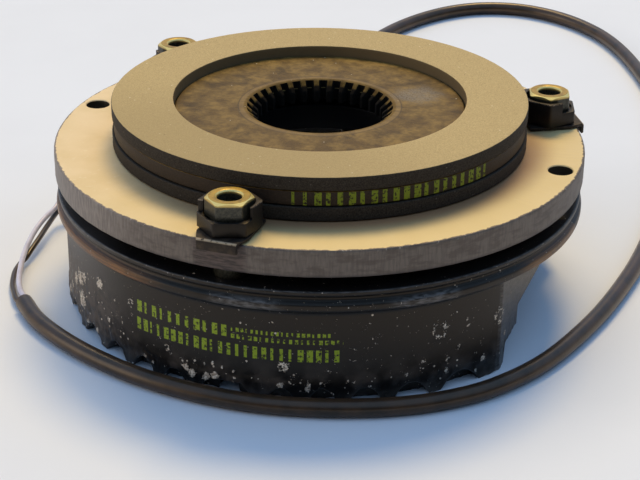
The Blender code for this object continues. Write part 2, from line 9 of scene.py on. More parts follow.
import bpy
import numpy as np
from mathutils import Matrix, Vector, noise


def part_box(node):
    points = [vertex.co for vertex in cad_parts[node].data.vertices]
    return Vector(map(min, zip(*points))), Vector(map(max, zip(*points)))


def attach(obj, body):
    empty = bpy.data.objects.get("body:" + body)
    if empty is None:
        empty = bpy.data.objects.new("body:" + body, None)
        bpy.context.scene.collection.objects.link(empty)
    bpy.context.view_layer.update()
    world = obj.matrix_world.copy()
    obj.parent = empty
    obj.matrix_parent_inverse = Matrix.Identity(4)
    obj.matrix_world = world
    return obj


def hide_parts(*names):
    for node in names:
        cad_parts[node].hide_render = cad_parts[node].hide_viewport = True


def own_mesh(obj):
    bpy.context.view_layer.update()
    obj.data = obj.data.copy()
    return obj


MM = 0.001

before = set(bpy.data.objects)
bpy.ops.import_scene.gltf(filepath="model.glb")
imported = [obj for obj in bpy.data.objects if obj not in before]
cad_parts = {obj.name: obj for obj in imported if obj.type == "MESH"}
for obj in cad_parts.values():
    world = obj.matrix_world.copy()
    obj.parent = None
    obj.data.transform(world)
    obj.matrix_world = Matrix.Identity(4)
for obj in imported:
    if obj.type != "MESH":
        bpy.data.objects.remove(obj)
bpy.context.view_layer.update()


def corners(node):
    """A CAD node's lowest and highest corners, in millimetres."""
    low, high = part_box(node)
    return low / MM, high / MM


# Sizes read from the frame
HOUSING_HIGH = corners("magnet_housing")[1]
RIM_RADIUS, POLE_FACE = HOUSING_HIGH.y, HOUSING_HIGH.z
PLATE_LOW, PLATE_HIGH = corners("armature_plate")
PLATE_RADIUS, PLATE_BOTTOM, PLATE_TOP = PLATE_HIGH.y, PLATE_LOW.z, PLATE_HIGH.z
LOWER_LINING = corners("friction_lining_lower")
UPPER_LINING = corners("friction_lining_upper")
LINING_RADIUS, ROTOR_TOP = UPPER_LINING[1].y, UPPER_LINING[1].z
WEB_LOW, WEB_HIGH = corners("rotor_carrier")
SLEEVE_LOW, SLEEVE_HIGH = corners("hollow_sleeve_a")
NUT_LOW, NUT_HIGH = corners("hexagon_nut_a")
LOCK_LOW, LOCK_HIGH = corners("lock_plate_a")
SPRING_LOW, SPRING_HIGH = corners("pressure_spring_1")
THRUST_LOW, THRUST_HIGH = corners("thrust_ring")
ADJUSTER_LOW, ADJUSTER_HIGH = corners("torque_adjuster_ring")

# Magnet housing
BODY_RADIUS = 71.2
GROOVE_RADIUS = 72.1
LIP_RADIUS = 73.0
RIM_TOP = 29.4
GROOVE_BOTTOM = 30.2
GROOVE_TOP = 31.2
LIP_BOTTOM = 31.6
SKIRT_INNER = 60.0
SKIRT_DEPTH = 6.5
OUTER_POLE_INNER = 58.0
INNER_POLE = 41.0
BORE = 22.0
COIL_FLOOR = 12.5
RECESS_RADIUS = 38.5
RECESS_CEILING = 13.5
BOSS_RADIUS = 46.0
BOSS_BOTTOM = 2.5
FLAT_DISTANCE = 62.5
FLAT_TOP = 26.0
FLAT_FOOT = 5.3
FLAT_FOOT_START = -30.0
NOTCH_INNER = 68.0  # how far in the notches reach
NOTCH_HEIGHT = 4.2
NOTCH_HALF = 3.75
NOTCH_OFFSETS = (14.7, 24.8, 34.9, 45.0, 55.1)  # sideways from each screw's radius
WIDE_NOTCH_HALF = 7.3
OPENING_ANGLES = (-14.4, 44.5)
OPENING_HEIGHT = 10.5
FLAT_CORNER = -33.6  # the angle where the flat side meets the round flank

# Screws
SCREW_ANGLES = {"a": 30.0, "b": 150.0, "c": 270.0}
SCREW_CIRCLE = 66.0
SLEEVE_FLATS = 11.0
SLEEVE_SHANK = 4.2
SLEEVE_HOLE = 3.15
HEXAGON_TURNS = {"a": -13.0, "b": 24.0, "c": 21.0}
SLEEVE_HEAD_BOTTOM = 48.9
NUT_FLATS = 14.3
NUT_FRONT_TOP = 49.4
NUT_STEP_START = 2.0
LOCK_THICKNESS = 0.8
LOCK_WIDTHS = (13.8, 10.4)  # under the nut, and at the outer end
LOCK_REACHES = (-7.0, 4.8, 9.2)  # from the screw's axis

# Armature plate and rotor
PLATE_BORE = 24.0
RELEASE_CIRCLE = 68.4
RELEASE_HOLE = 3.4
LINING_INNER = 40.3
SPLINE_TEETH = 32
SPLINE_TIP = 17.4
SPLINE_ROOT = 20.1

# Springs and the two rings under them
SPRING_CIRCLE = 31.5
SPRING_COIL = 3.5
SPRING_WIRE = 1.6
SPRING_TURNS = 6.5
SPRING_POCKET = 4.9  # the pocket's radius
RING_BORE = 25.5
THREAD_PITCH = 1.5

# Cable
GLAND_ANGLE = 168.0
GLAND_HEIGHT = 13.0
LEAD_DIAMETER = 1.6
SHEATH_DIAMETER = 4.9

# The cable's route, the same points as in the CAD.
LEAD_WHITE_ROUTE = (
    (-74.7, 15.9, 14.0),
    (-78.8, 16.6, 13.6),
    (-84.0, 13.4, 10.6),
    (-86.6, 8.8, 7.9),
    (-86.9, 4.2, 6.4),
    (-86.7, -2.3, 6.2),
    (-86.3, -9.3, 5.4),
    (-84.6, -17.3, 4.7),
    (-82.3, -24.8, 4.2),
    (-79.4, -32.1, 3.8),
    (-76.5, -38.2, 3.5),
    (-73.4, -43.1, 3.4),
    (-69.9, -46.8, 3.3),
)
LEAD_BLACK_ROUTE = (
    (-74.7, 15.9, 12.0),
    (-78.8, 16.6, 11.5),
    (-84.0, 13.4, 8.5),
    (-86.6, 8.8, 5.9),
    (-86.9, 4.4, 4.4),
    (-85.7, -3.0, 4.1),
    (-84.3, -10.9, 3.7),
    (-83.4, -17.9, 3.0),
    (-83.1, -22.0, 2.2),
    (-83.3, -25.2, 1.7),
    (-82.3, -30.4, 1.4),
    (-79.3, -37.2, 1.4),
    (-76.6, -41.4, 1.6),
    (-73.8, -45.3, 1.9),
    (-70.9, -47.9, 2.1),
)
SHEATH_ROUTE = (
    (-69.9, -47.6, 2.5),
    (-61.6, -55.6, 2.5),
    (-49.8, -63.2, 2.5),
    (-35.9, -69.6, 2.5),
    (-20.7, -74.2, 2.5),
    (-3.9, -76.3, 2.5),
    (11.8, -75.6, 2.5),
    (27.4, -71.9, 2.5),
    (42.7, -65.6, 2.5),
    (54.6, -57.6, 2.5),
    (64.9, -46.6, 2.5),
    (73.9, -29.6, 2.5),
    (80.4, -6.2, 2.5),
    (84.2, 18.1, 2.5),
    (86.0, 44.0, 2.5),
    (85.4, 76.0, 2.5),
    (82.0, 110.0, 2.5),
    (76.0, 143.0, 2.5),
    (67.6, 173.0, 2.5),
    (57.4, 198.0, 2.5),
    (45.3, 221.0, 2.5),
    (33.0, 237.5, 2.5),
    (18.0, 249.6, 2.5),
    (2.5, 255.4, 2.5),
    (-11.5, 254.8, 2.5),
    (-24.0, 248.4, 2.5),
    (-34.4, 236.0, 2.5),
    (-42.6, 218.0, 2.5),
    (-47.5, 197.0, 2.5),
    (-50.0, 174.0, 2.5),
)

# Camera, relative to the middle of the rotor's top
CAMERA_TURN = 19.4
CAMERA_ELEVATION = 25.58
CAMERA_ROLL = 0.54
CAMERA_DISTANCE = 486.8
CAMERA_LOWERED = 40.1
CAMERA_LENS = 99.2

# Light and table
TABLE_GAP = 0.02  # how far the table is below the brake
CAMERA_SIDE = (0.332, -0.943, 0.0)  # from the brake towards the camera
CAMERA_LEFT = (-0.943, -0.332, 0.0)
HORIZON_BEHIND = (0.42, 0.43, 0.46, 1.0)
HORIZON_IN_FRONT = (0.03, 0.03, 0.032, 1.0)
HORIZON_LEFT = (0.75, 0.66, 0.56, 1.0)
FRONT_SHADE = 0.32  # how much higher the sky starts on the camera's side
ZENITH = (0.32, 0.53, 0.89, 1.0)
KEY_COLOUR = (1.0, 0.73, 0.30)
SECOND_COLOUR = (1.0, 0.76, 0.36)
SIDE_COLOUR = (1.0, 0.9, 0.8)
WARM = (1.0, 0.82, 0.62)  # the tint of reflections in dark surfaces
PLAIN = (1.0, 1.0, 1.0)  # no tint

# Directions from the shaft, as x and y, that the wear and the painted light and shade of the materials follow
LEFT = (-0.82, -0.57)
RIGHT = (0.75, -0.66)
FRONT = (-0.2, -0.98)

# Corrosion spots on the housing: angle, height, radius, and 1 where only a ring is left
SPOTS = (
    (221.5, 12.6, 1.9, 0),
    (225.0, 14.8, 2.6, 0),
    (227.6, 16.4, 1.6, 0),
    (225.6, 8.9, 2.8, 0),
    (235.4, 19.1, 1.9, 0),
    (213.0, 5.2, 2.0, 0),
    (217.5, 8.6, 1.3, 0),
    (228.5, 3.6, 1.2, 0),
    (233.5, 4.0, 0.9, 0),
    (238.6, 9.9, 0.9, 0),
    (246.6, 18.8, 1.2, 1),
    (250.4, 5.0, 0.8, 0),
    (252.6, 4.0, 0.6, 0),
    (256.4, 9.9, 1.1, 1),
    (261.0, 5.8, 1.3, 0),
    (262.6, 4.5, 1.5, 0),
    (266.0, 4.6, 1.4, 0),
    (267.8, 5.4, 1.2, 0),
    (263.4, 8.4, 0.5, 0),
    (265.6, 8.1, 0.5, 0),
    (267.4, 8.8, 0.5, 0),
    (269.6, 8.1, 0.6, 0),
    (272.0, 7.6, 0.5, 0),
    (272.2, 5.8, 0.5, 0),
    (272.0, 4.2, 0.5, 0),
    (282.4, 10.4, 1.5, 1),
    (291.4, 9.5, 1.0, 1),
    (281.9, 4.9, 1.1, 0),
    (284.4, 6.5, 1.1, 1),
    (287.4, 4.9, 1.4, 0),
    (290.4, 5.5, 1.0, 1),
    (286.0, 3.9, 0.5, 0),
    (292.4, 3.1, 0.5, 0),
    (295.6, 6.5, 0.5, 0),
    (297.0, 6.5, 0.4, 0),
    (300.4, 4.0, 1.1, 1),
    (314.9, 17.6, 2.4, 1),
    (321.8, 19.2, 0.5, 0),
    (322.0, 17.2, 0.5, 0),
    (319.9, 12.0, 0.7, 0),
    (311.4, 8.9, 1.2, 1),
    (308.0, 6.9, 0.5, 0),
    (308.6, 3.6, 0.6, 0),
    (317.4, 8.4, 1.0, 1),
    (317.0, 5.5, 0.9, 0),
    (326.4, 5.6, 1.0, 0),
    (324.6, 3.0, 0.5, 0),
    (331.4, 5.4, 0.4, 0),
    (334.6, 9.2, 0.8, 0),
    (330.9, 16.6, 2.3, 1),
    (20.0, 12.0, 1.8, 0),
    (47.0, 17.0, 1.4, 1),
    (52.0, 6.0, 2.0, 0),
    (74.0, 9.0, 1.2, 1),
    (88.0, 5.0, 1.6, 0),
    (103.0, 15.5, 1.1, 0),
    (118.0, 6.5, 1.9, 1),
    (133.0, 10.0, 1.2, 0),
    (151.0, 19.0, 1.5, 1),
    (163.0, 6.0, 2.1, 0),
    (177.0, 12.0, 1.0, 0),
    (201.0, 7.0, 1.8, 0),
)


# ---------------------------------------------------------------- shapes


def tone(red, green, blue):
    """A display colour, each part from 0 to 255, as the linear colour that Blender takes."""
    parts = [part / 255 for part in (red, green, blue)]
    linear = [p / 12.92 if p <= 0.04045 else ((p + 0.055) / 1.055) ** 2.4 for p in parts]
    return (*linear, 1.0)


def smooth_step(value, start, end):
    """From 0 at start to 1 at end, level at both."""
    share = np.clip((value - start) / (end - start), 0.0, 1.0)
    return share * share * (3 - 2 * share)


def polar(radius, degrees, z=0.0):
    """A point from its radius, its angle and its height."""
    angle = math.radians(degrees)
    return Vector((radius * math.cos(angle), radius * math.sin(angle), z))


def rough(points, size, seed=0.0):
    """Smooth noise from -1 to 1 at each point of an array, with bumps about that many millimetres wide."""
    shift = Vector((seed, seed * 0.7, seed * 1.3))
    return np.array([noise.noise(Vector(p) / size + shift) for p in points])


def rounded(profile, radius, steps=3):
    """The same closed outline with every corner turned into a small curve."""
    result = []
    count = len(profile)
    for i in range(count):
        before, corner, after = (Vector(profile[(i + k) % count]) for k in (-1, 0, 1))
        back, ahead = before - corner, after - corner
        start = corner + back * min(radius / back.length, 0.45)
        end = corner + ahead * min(radius / ahead.length, 0.45)
        for step in range(steps + 1):
            t = step / steps
            result.append(tuple(start * (1 - t) ** 2 + corner * 2 * t * (1 - t) + end * t * t))
    return result


def spaced(profile, step, wanted):
    """The same closed outline with extra points along its edges, where wanted(radius, height) holds."""
    result = []
    for start, end in zip(profile, profile[1:] + profile[:1]):
        result.append(start)
        first, last = Vector(start), Vector(end)
        parts = int((last - first).length / step)
        if parts > 1 and wanted(*first) and wanted(*last):
            result += [tuple(first.lerp(last, k / parts)) for k in range(1, parts)]
    return result


def new_object(name, data):
    """A new object in the scene."""
    obj = bpy.data.objects.new(name, data)
    bpy.context.scene.collection.objects.link(obj)
    return obj


def quad_mesh(name, points, rings, ring_points, closed_ends):
    """A mesh of quads on a grid of points: each ring is closed, and the rings meet in a loop or not."""
    near = np.arange(rings if closed_ends else rings - 1)[:, None]
    along = np.arange(ring_points)[None, :]
    far = (near + 1) % rings
    beside = (along + 1) % ring_points
    corner_rows = ((near, along), (far, along), (far, beside), (near, beside))
    quads = np.stack([ring * ring_points + point for ring, point in corner_rows], axis=-1)
    faces = [tuple(q) for q in quads.reshape(-1, 4).tolist()]
    if not closed_ends:
        faces.append(tuple(range(ring_points)))
        faces.append(tuple(reversed(range((rings - 1) * ring_points, rings * ring_points))))
    mesh = bpy.data.meshes.new(name)
    mesh.from_pydata((np.asarray(points) * MM).tolist(), [], faces)
    mesh.update()
    return mesh


def lathe(name, profile, segments, shape=None, centre=(0.0, 0.0), turn=0.0):
    """A ring turned about an upright axis from a closed outline, listed anticlockwise, of (radius, height).

    shape(radius, height, angle) may give every point another radius and height."""
    radius = np.tile([p[0] for p in profile], (segments, 1))
    height = np.tile([p[1] for p in profile], (segments, 1))
    angle = np.repeat(np.arange(segments) * 2 * math.pi / segments + turn, len(profile)).reshape(radius.shape)
    if shape:
        radius, height = shape(radius, height, angle)
    x, y = radius * np.cos(angle) + centre[0], radius * np.sin(angle) + centre[1]
    points = np.stack([x, y, height], axis=-1).reshape(-1, 3)
    return new_object(name, quad_mesh(name, points, segments, len(profile), True))


def rod(name, centreline, radius, sides=16):
    """A round rod along points, with flat ends. radius is one number, or one for each point."""
    line = np.asarray(centreline, float)
    radii = np.broadcast_to(radius, len(line))
    ahead = np.gradient(line, axis=0)
    ahead /= np.linalg.norm(ahead, axis=1)[:, None]
    side = np.cross(ahead[0], (0.0, 0.0, 1.0))
    if np.linalg.norm(side) < 0.1:
        side = np.cross(ahead[0], (1.0, 0.0, 0.0))
    points = []
    for place, forward, r in zip(line, ahead, radii):
        side = side - forward * (side @ forward)
        side /= np.linalg.norm(side)
        up = np.cross(side, forward)
        for i in range(sides):
            angle = 2 * math.pi * i / sides
            points.append(place + r * (math.cos(angle) * side + math.sin(angle) * up))
    return new_object(name, quad_mesh(name, points, len(line), sides, False))


def drum(places, radius, bottom, top, flare=0.0, sides=40):
    """One mesh of upright cylinders. flare is how much wider both ends are, and how high the widening is."""
    points, faces = [], []
    levels = ((bottom, flare), (bottom + flare, 0.0), (top - flare, 0.0), (top, flare))
    for place in places:
        first = len(points)
        for z, extra in levels:
            for i in range(sides):
                angle = 2 * math.pi * i / sides
                reach = radius + extra
                points.append((place[0] + reach * math.cos(angle), place[1] + reach * math.sin(angle), z))
        for level in range(len(levels) - 1):
            for i in range(sides):
                k = (i + 1) % sides
                low, high = first + level * sides, first + (level + 1) * sides
                faces.append((low + i, low + k, high + k, high + i))
        faces.append(tuple(first + i for i in reversed(range(sides))))
        faces.append(tuple(first + (len(levels) - 1) * sides + i for i in range(sides)))
    mesh = bpy.data.meshes.new("drum")
    mesh.from_pydata([tuple(c * MM for c in p) for p in points], [], faces)
    return mesh


def settle(obj):
    """Replaces an object's mesh by the one that its modifiers make."""
    graph = bpy.context.evaluated_depsgraph_get()
    made = bpy.data.meshes.new_from_object(obj.evaluated_get(graph))
    obj.modifiers.clear()
    obj.data = made


def take_away(target, mesh):
    """Cuts a closed mesh out of an object, once and for all."""
    cutter = new_object("cutter", mesh)
    boolean = target.modifiers.new("cut", "BOOLEAN")
    boolean.operation = "DIFFERENCE"
    boolean.object = cutter
    bpy.context.view_layer.update()
    settle(target)
    bpy.data.objects.remove(cutter)


def bevelled(obj, width, segments=2):
    """Rounds an object's sharp edges."""
    bevel = obj.modifiers.new("bevel", "BEVEL")
    bevel.width = width * MM
    bevel.segments = segments
    bevel.limit_method = "ANGLE"
    bevel.angle_limit = math.radians(38)
    bevel.harden_normals = False
    settle(obj)


def place(obj, body, slot, finish, *nodes, sharp=38):
    """Gives a piece its shading, its material, its body and the CAD nodes that it stands for.

    Edges are sharp where a mesh's faces meet at more than the angle."""
    if obj.type == "MESH":
        obj.data.shade_smooth()
        obj.data.set_sharp_from_angle(angle=math.radians(sharp))
    obj.data.materials.clear()
    obj.data.materials.append(finish)
    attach(obj, body)
    if nodes:
        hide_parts(*nodes)
    return obj


def smooth_route(route, spacing):
    """Evenly spaced points on a Catmull-Rom curve through a route's points."""
    points = [Vector(p) for p in route]
    points = [2 * points[0] - points[1], *points, 2 * points[-1] - points[-2]]
    fine = []
    for before, start, end, after in zip(points, points[1:], points[2:], points[3:]):
        for i in range(24):
            t = i / 24
            bend = 2 * before - 5 * start + 4 * end - after
            twist = 3 * start - before - 3 * end + after
            fine.append(0.5 * (2 * start + (end - before) * t + bend * t**2 + twist * t**3))
    fine.append(points[-2])
    gone = np.concatenate([[0.0], np.cumsum([(b - a).length for a, b in zip(fine, fine[1:])])])
    wanted = np.linspace(0.0, gone[-1], max(2, round(gone[-1] / spacing)) + 1)
    table = np.array(fine)
    return [Vector([np.interp(w, gone, table[:, k]) for k in range(3)]) for w in wanted]


# ---------------------------------------------------------------- materials


class Nodes:
    """Shader nodes in one tree, made one by one. Values are numbers or other nodes' outputs."""

    def __init__(self, owner):
        owner.use_nodes = True
        self.tree = owner.node_tree

    def node(self, kind, **settings):
        """A new node with its settings."""
        made = self.tree.nodes.new("ShaderNode" + kind)
        for key, value in settings.items():
            setattr(made, key, value)
        return made

    def feed(self, value, socket):
        """Joins another node's output to a socket, or sets the socket's own value."""
        if isinstance(value, bpy.types.NodeSocket):
            self.tree.links.new(value, socket)
        else:
            socket.default_value = value

    def math(self, operation, *values):
        """A math node's result."""
        made = self.node("Math", operation=operation)
        for value, socket in zip(values, made.inputs):
            self.feed(value, socket)
        return made.outputs[0]

    def times(self, *values):
        """The product of several values."""
        result = values[0]
        for value in values[1:]:
            result = self.math("MULTIPLY", result, value)
        return result

    def plus(self, *values):
        """The sum of several values."""
        result = values[0]
        for value in values[1:]:
            result = self.math("ADD", result, value)
        return result

    def part_along(self, vector, axis):
        """How far a vector reaches along an axis."""
        made = self.node("VectorMath", operation="DOT_PRODUCT")
        self.feed(vector, made.inputs[0])
        made.inputs[1].default_value = axis
        return made.outputs["Value"]

    def ramp(self, value, start, end):
        """From 0 at start to 1 at end, level at both. start may be the larger."""
        made = self.node("MapRange", interpolation_type="SMOOTHSTEP")
        self.feed(value, made.inputs[0])
        flipped = start > end
        made.inputs[1].default_value = min(start, end)
        made.inputs[2].default_value = max(start, end)
        made.inputs[3].default_value = 1.0 if flipped else 0.0
        made.inputs[4].default_value = 0.0 if flipped else 1.0
        return made.outputs[0]

    def blend(self, factor, first, second):
        """A colour between two colours."""
        made = self.node("Mix", data_type="RGBA")
        self.feed(factor, made.inputs[0])
        self.feed(first, made.inputs[6])
        self.feed(second, made.inputs[7])
        return made.outputs[2]


class Finish(Nodes):
    """A Principled material. Places and sizes of its textures are in millimetres."""

    def __init__(self, name):
        self.material = bpy.data.materials.new(name)
        super().__init__(self.material)
        self.shader = self.tree.nodes["Principled BSDF"]
        coordinates = self.node("TexCoord")
        millimetres = self.node("VectorMath", operation="SCALE")
        self.feed(coordinates.outputs["Object"], millimetres.inputs[0])
        millimetres.inputs["Scale"].default_value = 1 / MM
        self.place = millimetres.outputs[0]
        split = self.node("SeparateXYZ")
        self.feed(self.place, split.inputs[0])
        self.x, self.y, self.z = split.outputs
        normal = self.node("SeparateXYZ")
        self.feed(coordinates.outputs["Normal"], normal.inputs[0])
        self.up = normal.outputs[2]
        squares = [self.math("POWER", value, 2.0) for value in (self.x, self.y)]
        self.radius = self.math("SQRT", self.plus(*squares))

    def joined(self, x, y, z):
        """A vector of three values."""
        made = self.node("CombineXYZ")
        for value, socket in zip((x, y, z), made.inputs):
            self.feed(value, socket)
        return made.outputs[0]

    def within(self, value, low, high, edge):
        """1 between low and high, with soft edges."""
        rise = self.ramp(value, low - edge, low + edge)
        return self.times(rise, self.ramp(value, high + edge, high - edge))

    def towards(self, side, start, end):
        """From 0 to 1 as the direction from the shaft comes nearer to a side, given by its x and y."""
        along = self.plus(self.times(self.x, side[0]), self.times(self.y, side[1]))
        return self.ramp(self.math("DIVIDE", along, self.radius), start, end)

    def grain(self, size, detail=3.0, stretch=(1.0, 1.0, 1.0), vector=None, roughness=0.55):
        """Noise with bumps about size wide, longer along an axis whose stretch is over 1."""
        scaling = self.node("VectorMath", operation="DIVIDE")
        self.feed(vector or self.place, scaling.inputs[0])
        scaling.inputs[1].default_value = [size * s for s in stretch]
        made = self.node("TexNoise")
        self.feed(scaling.outputs[0], made.inputs["Vector"])
        made.inputs["Scale"].default_value = 1.0
        made.inputs["Detail"].default_value = detail
        made.inputs["Roughness"].default_value = roughness
        return made.outputs[0]

    def specks(self, size, radius, share):
        """1 inside round specks. share, a value or a number, is the part of all cells that hold one."""
        made = self.node("TexVoronoi")
        self.feed(self.place, made.inputs["Vector"])
        made.inputs["Scale"].default_value = 1 / size
        chance = self.node("SeparateColor")
        self.feed(made.outputs["Color"], chance.inputs[0])
        chosen = self.math("LESS_THAN", chance.outputs[0], share)
        reach = radius / size
        distance = self.plus(made.outputs["Distance"], self.times(self.grain(size * 0.3), 0.6 * reach))
        return self.times(self.ramp(distance, 1.5 * reach, 1.1 * reach), chosen)

    def between(self, factor, first, second):
        """A number between two numbers."""
        made = self.node("Mix")
        self.feed(factor, made.inputs[0])
        self.feed(first, made.inputs[2])
        self.feed(second, made.inputs[3])
        return made.outputs[0]

    def attribute(self, name):
        """A number stored on the mesh's points."""
        return self.node("Attribute", attribute_name=name).outputs["Fac"]

    def ready(self, colour, rough, metal, relief, depth, specular=0.5, coat=0.0, tint=PLAIN):
        """Sets the shader's inputs. relief is a height from 0 to 1, and depth its real size."""
        self.feed(colour, self.shader.inputs["Base Color"])
        self.feed(rough, self.shader.inputs["Roughness"])
        self.feed(metal, self.shader.inputs["Metallic"])
        self.shader.inputs["Specular IOR Level"].default_value = specular
        self.shader.inputs["Specular Tint"].default_value = (*tint, 1.0)
        self.shader.inputs["Coat Weight"].default_value = coat
        self.shader.inputs["Coat Roughness"].default_value = 0.2
        self.shader.inputs["Coat Tint"].default_value = (*tint, 1.0)
        bump = self.node("Bump")
        bump.inputs["Strength"].default_value = 1.0
        bump.inputs["Distance"].default_value = depth * MM
        self.feed(relief, bump.inputs["Height"])
        self.feed(bump.outputs[0], self.shader.inputs["Normal"])
        return self.material


def print_mask(f, rows):
    """Worn green marks on a round flank: rows of plain blocks of uneven width, with no letters in them.

    A row is its lowest and highest level, first and last angle, the flank's radius and a block's pitch."""
    angle = f.times(f.math("ARCTAN2", f.y, f.x), 180 / math.pi)
    total = None
    for low, high, first, last, radius, pitch in rows:
        turned = f.math("MODULO", f.plus(angle, 720.0 - first), 360.0)
        along = f.times(turned, math.pi / 180 * radius / pitch)
        chance = f.node("TexWhiteNoise", noise_dimensions="1D")
        f.feed(f.plus(f.math("FLOOR", along), low), chance.inputs["W"])
        width = f.plus(f.times(chance.outputs["Value"], 0.45), 0.25)
        inside = f.math("LESS_THAN", f.math("FRACT", along), width)
        level = f.times(f.within(f.z, low, high, 0.08), f.ramp(f.radius, radius - 2.5, radius - 2.0))
        reach = f.times(f.math("LESS_THAN", turned, last - first), inside)
        row = f.times(level, reach)
        total = row if total is None else f.math("MAXIMUM", total, row)
    worn = f.ramp(f.grain(0.7, 4.0), 0.36, 0.5)
    return f.times(total, worn)


def housing_paint():
    """Satin black paint: brown and grey marks on the bead, partly wear and partly painted sheen and
    highlights, pale corrosion spots and green printing, lighter towards the left as painted light, and
    painted black shade in the bore.
    """
    f = Finish("housing_paint")
    fine = f.grain(0.3, 4.0)
    cloud = f.grain(9.0, 5.0)
    uneven = f.plus(f.grain(0.45, 4.0), f.grain(1.5, 4.0), -1.0)
    crust = f.ramp(f.plus(f.attribute("corrosion"), f.times(uneven, 2.2)), 0.56, 0.68)
    low = f.ramp(f.z, 15.0, 3.0)
    left = f.towards(LEFT, 0.84, 0.97)
    worn_corner = f.times(left, f.ramp(f.z, 23.0, 12.0))
    small = f.specks(1.5, 0.3, f.plus(f.times(low, 0.14), f.times(worn_corner, 0.5), 0.012))
    flank = f.ramp(f.radius, 66.0, 67.0)
    crust = f.math("MAXIMUM", crust, f.times(small, flank))
    low_dust = f.times(f.ramp(cloud, 0.42, 0.62), low, 0.4)
    corner_dust = f.times(worn_corner, f.ramp(f.grain(2.0, 5.0), 0.35, 0.6), 0.8)
    dusty = f.math("MAXIMUM", low_dust, corner_dust)
    # Painted light: the paint is lighter towards the left side.
    paint = f.blend(f.times(left, 0.5), tone(19, 19, 20), tone(82, 78, 75))
    paint = f.blend(dusty, paint, tone(104, 94, 86))
    # The brown and grey marks on the bead are partly wear and partly painted sheen and highlights.
    brown = f.attribute("brown_sheen_and_wear")
    grey_highlight_and_wear = f.attribute("grey_highlights_and_wear")
    streaks = f.grain(0.45, 4.0, vector=f.joined(f.radius, f.z, f.times(cloud, 2.0)))
    paint = f.blend(f.times(brown, f.ramp(streaks, 0.25, 0.65)), paint, tone(138, 92, 50))
    bright = f.times(grey_highlight_and_wear, 0.45, f.ramp(f.grain(0.7, 4.0, (3.0, 3.0, 0.6)), 0.3, 0.7))
    paint = f.blend(bright, paint, tone(150, 146, 142))
    paint = f.blend(print_mask(f, PRINTED_ROWS), paint, FRESH_INK)
    pale = f.blend(f.ramp(f.grain(0.5, 4.0), 0.35, 0.65), tone(150, 132, 114), tone(240, 224, 200))
    colour = f.blend(crust, paint, pale)
    # Painted shade: near black in the bore.
    painted_bore_shade = f.ramp(f.radius, 31.0, 29.0)
    colour = f.blend(painted_bore_shade, colour, tone(4, 4, 4))
    dull = f.plus(f.times(crust, 0.35), f.times(dusty, 0.3), f.times(painted_bore_shade, 0.4))
    shine = f.plus(f.times(fine, 0.2), dull, 0.28)
    relief = f.plus(f.times(crust, 0.7), f.times(fine, 0.12), f.times(f.grain(1.2, 3.0), 0.18))
    return f.ready(colour, shine, f.times(bright, 0.5), relief, 0.12, specular=0.4, tint=WARM)


def plate_steel():
    """Pale yellowish ground steel on top; grey-brown, streaked and worn round the edge. Painted light and
    shade: the top darker towards the right with a painted brown shadow round the rotor's foot, the edge paler
    towards the left, and dark painted shade in the holes and the bore.
    """
    f = Finish("plate_steel")
    cloud = f.grain(14.0, 4.0)
    fine = f.grain(0.45, 4.0)
    edge_line = f.plus(f.radius, f.times(f.plus(f.grain(1.6, 5.0), -0.5), 1.5))
    rim = f.ramp(edge_line, PLATE_RADIUS - 0.75, PLATE_RADIUS - 0.45)
    top = f.blend(f.ramp(cloud, 0.3, 0.7), tone(224, 194, 139), tone(235, 206, 156))
    top = f.blend(f.times(f.ramp(f.grain(2.2, 5.0), 0.6, 0.74), 0.5), top, tone(240, 218, 176))
    top = f.blend(f.times(f.specks(6.0, 0.3, 0.12), 0.7), top, tone(120, 96, 66))
    # Painted light: the top is a deeper, darker tan towards the right.
    right = f.towards(RIGHT, -0.3, 0.8)
    top = f.blend(f.times(right, 0.8), top, tone(222, 193, 130))
    # Painted shadow: brown round the rotor's foot, on the right half.
    foot = f.ramp(f.radius, LINING_RADIUS + 10.0, LINING_RADIUS + 0.5)
    top = f.blend(f.times(foot, right, 0.9), top, tone(150, 106, 72))
    sweep = f.grain(0.55, 4.0, (1.0, 1.0, 7.0))
    blotch = f.grain(3.0, 4.0, (1.6, 1.6, 0.5))
    side = f.blend(f.ramp(sweep, 0.3, 0.7), tone(97, 86, 76), tone(116, 104, 92))
    side = f.blend(f.times(f.ramp(blotch, 0.45, 0.65), 0.6), side, tone(82, 70, 60))
    worn = f.times(f.ramp(f.z, PLATE_TOP - 0.9, PLATE_TOP - 0.2), f.ramp(f.grain(1.1, 4.0), 0.6, 0.7), 0.6)
    side = f.blend(worn, side, tone(190, 176, 156))
    side = f.blend(f.times(f.ramp(f.z, PLATE_BOTTOM + 1.2, PLATE_BOTTOM + 0.2), 0.6), side, tone(58, 50, 46))
    # Painted light: the edge is paler towards the left.
    pale = f.blend(f.ramp(sweep, 0.35, 0.65), tone(126, 114, 104), tone(156, 144, 132))
    side = f.blend(f.times(f.towards(LEFT, 0.72, 0.98), 0.75), side, pale)
    patch = f.attribute("scuffed")
    bars = f.grain(0.6, 4.0, (6.0, 6.0, 0.8))
    scuff = f.blend(f.ramp(bars, 0.38, 0.62), tone(48, 38, 34), tone(92, 76, 68))
    side = f.blend(f.times(patch, 0.8), side, scuff)
    colour = f.blend(rim, top, side)
    # Painted shade: dark brown on the walls of the holes, and black in the bore.
    painted_hole_shade = f.times(f.ramp(f.up, 0.6, 0.3), f.ramp(f.radius, PLATE_RADIUS - 0.9, PLATE_RADIUS - 1.2))
    colour = f.blend(painted_hole_shade, colour, tone(66, 54, 38))
    colour = f.blend(f.ramp(f.radius, 32.0, 30.0), colour, tone(6, 6, 6))
    shine = f.between(rim, f.plus(f.times(fine, 0.16), 0.46), f.plus(f.times(sweep, 0.25), 0.42))
    relief = f.between(rim, f.times(fine, 0.25), f.plus(f.times(sweep, 0.6), f.times(fine, 0.4)))
    return f.ready(colour, shine, f.between(rim, 0.04, 0.4), relief, 0.05)


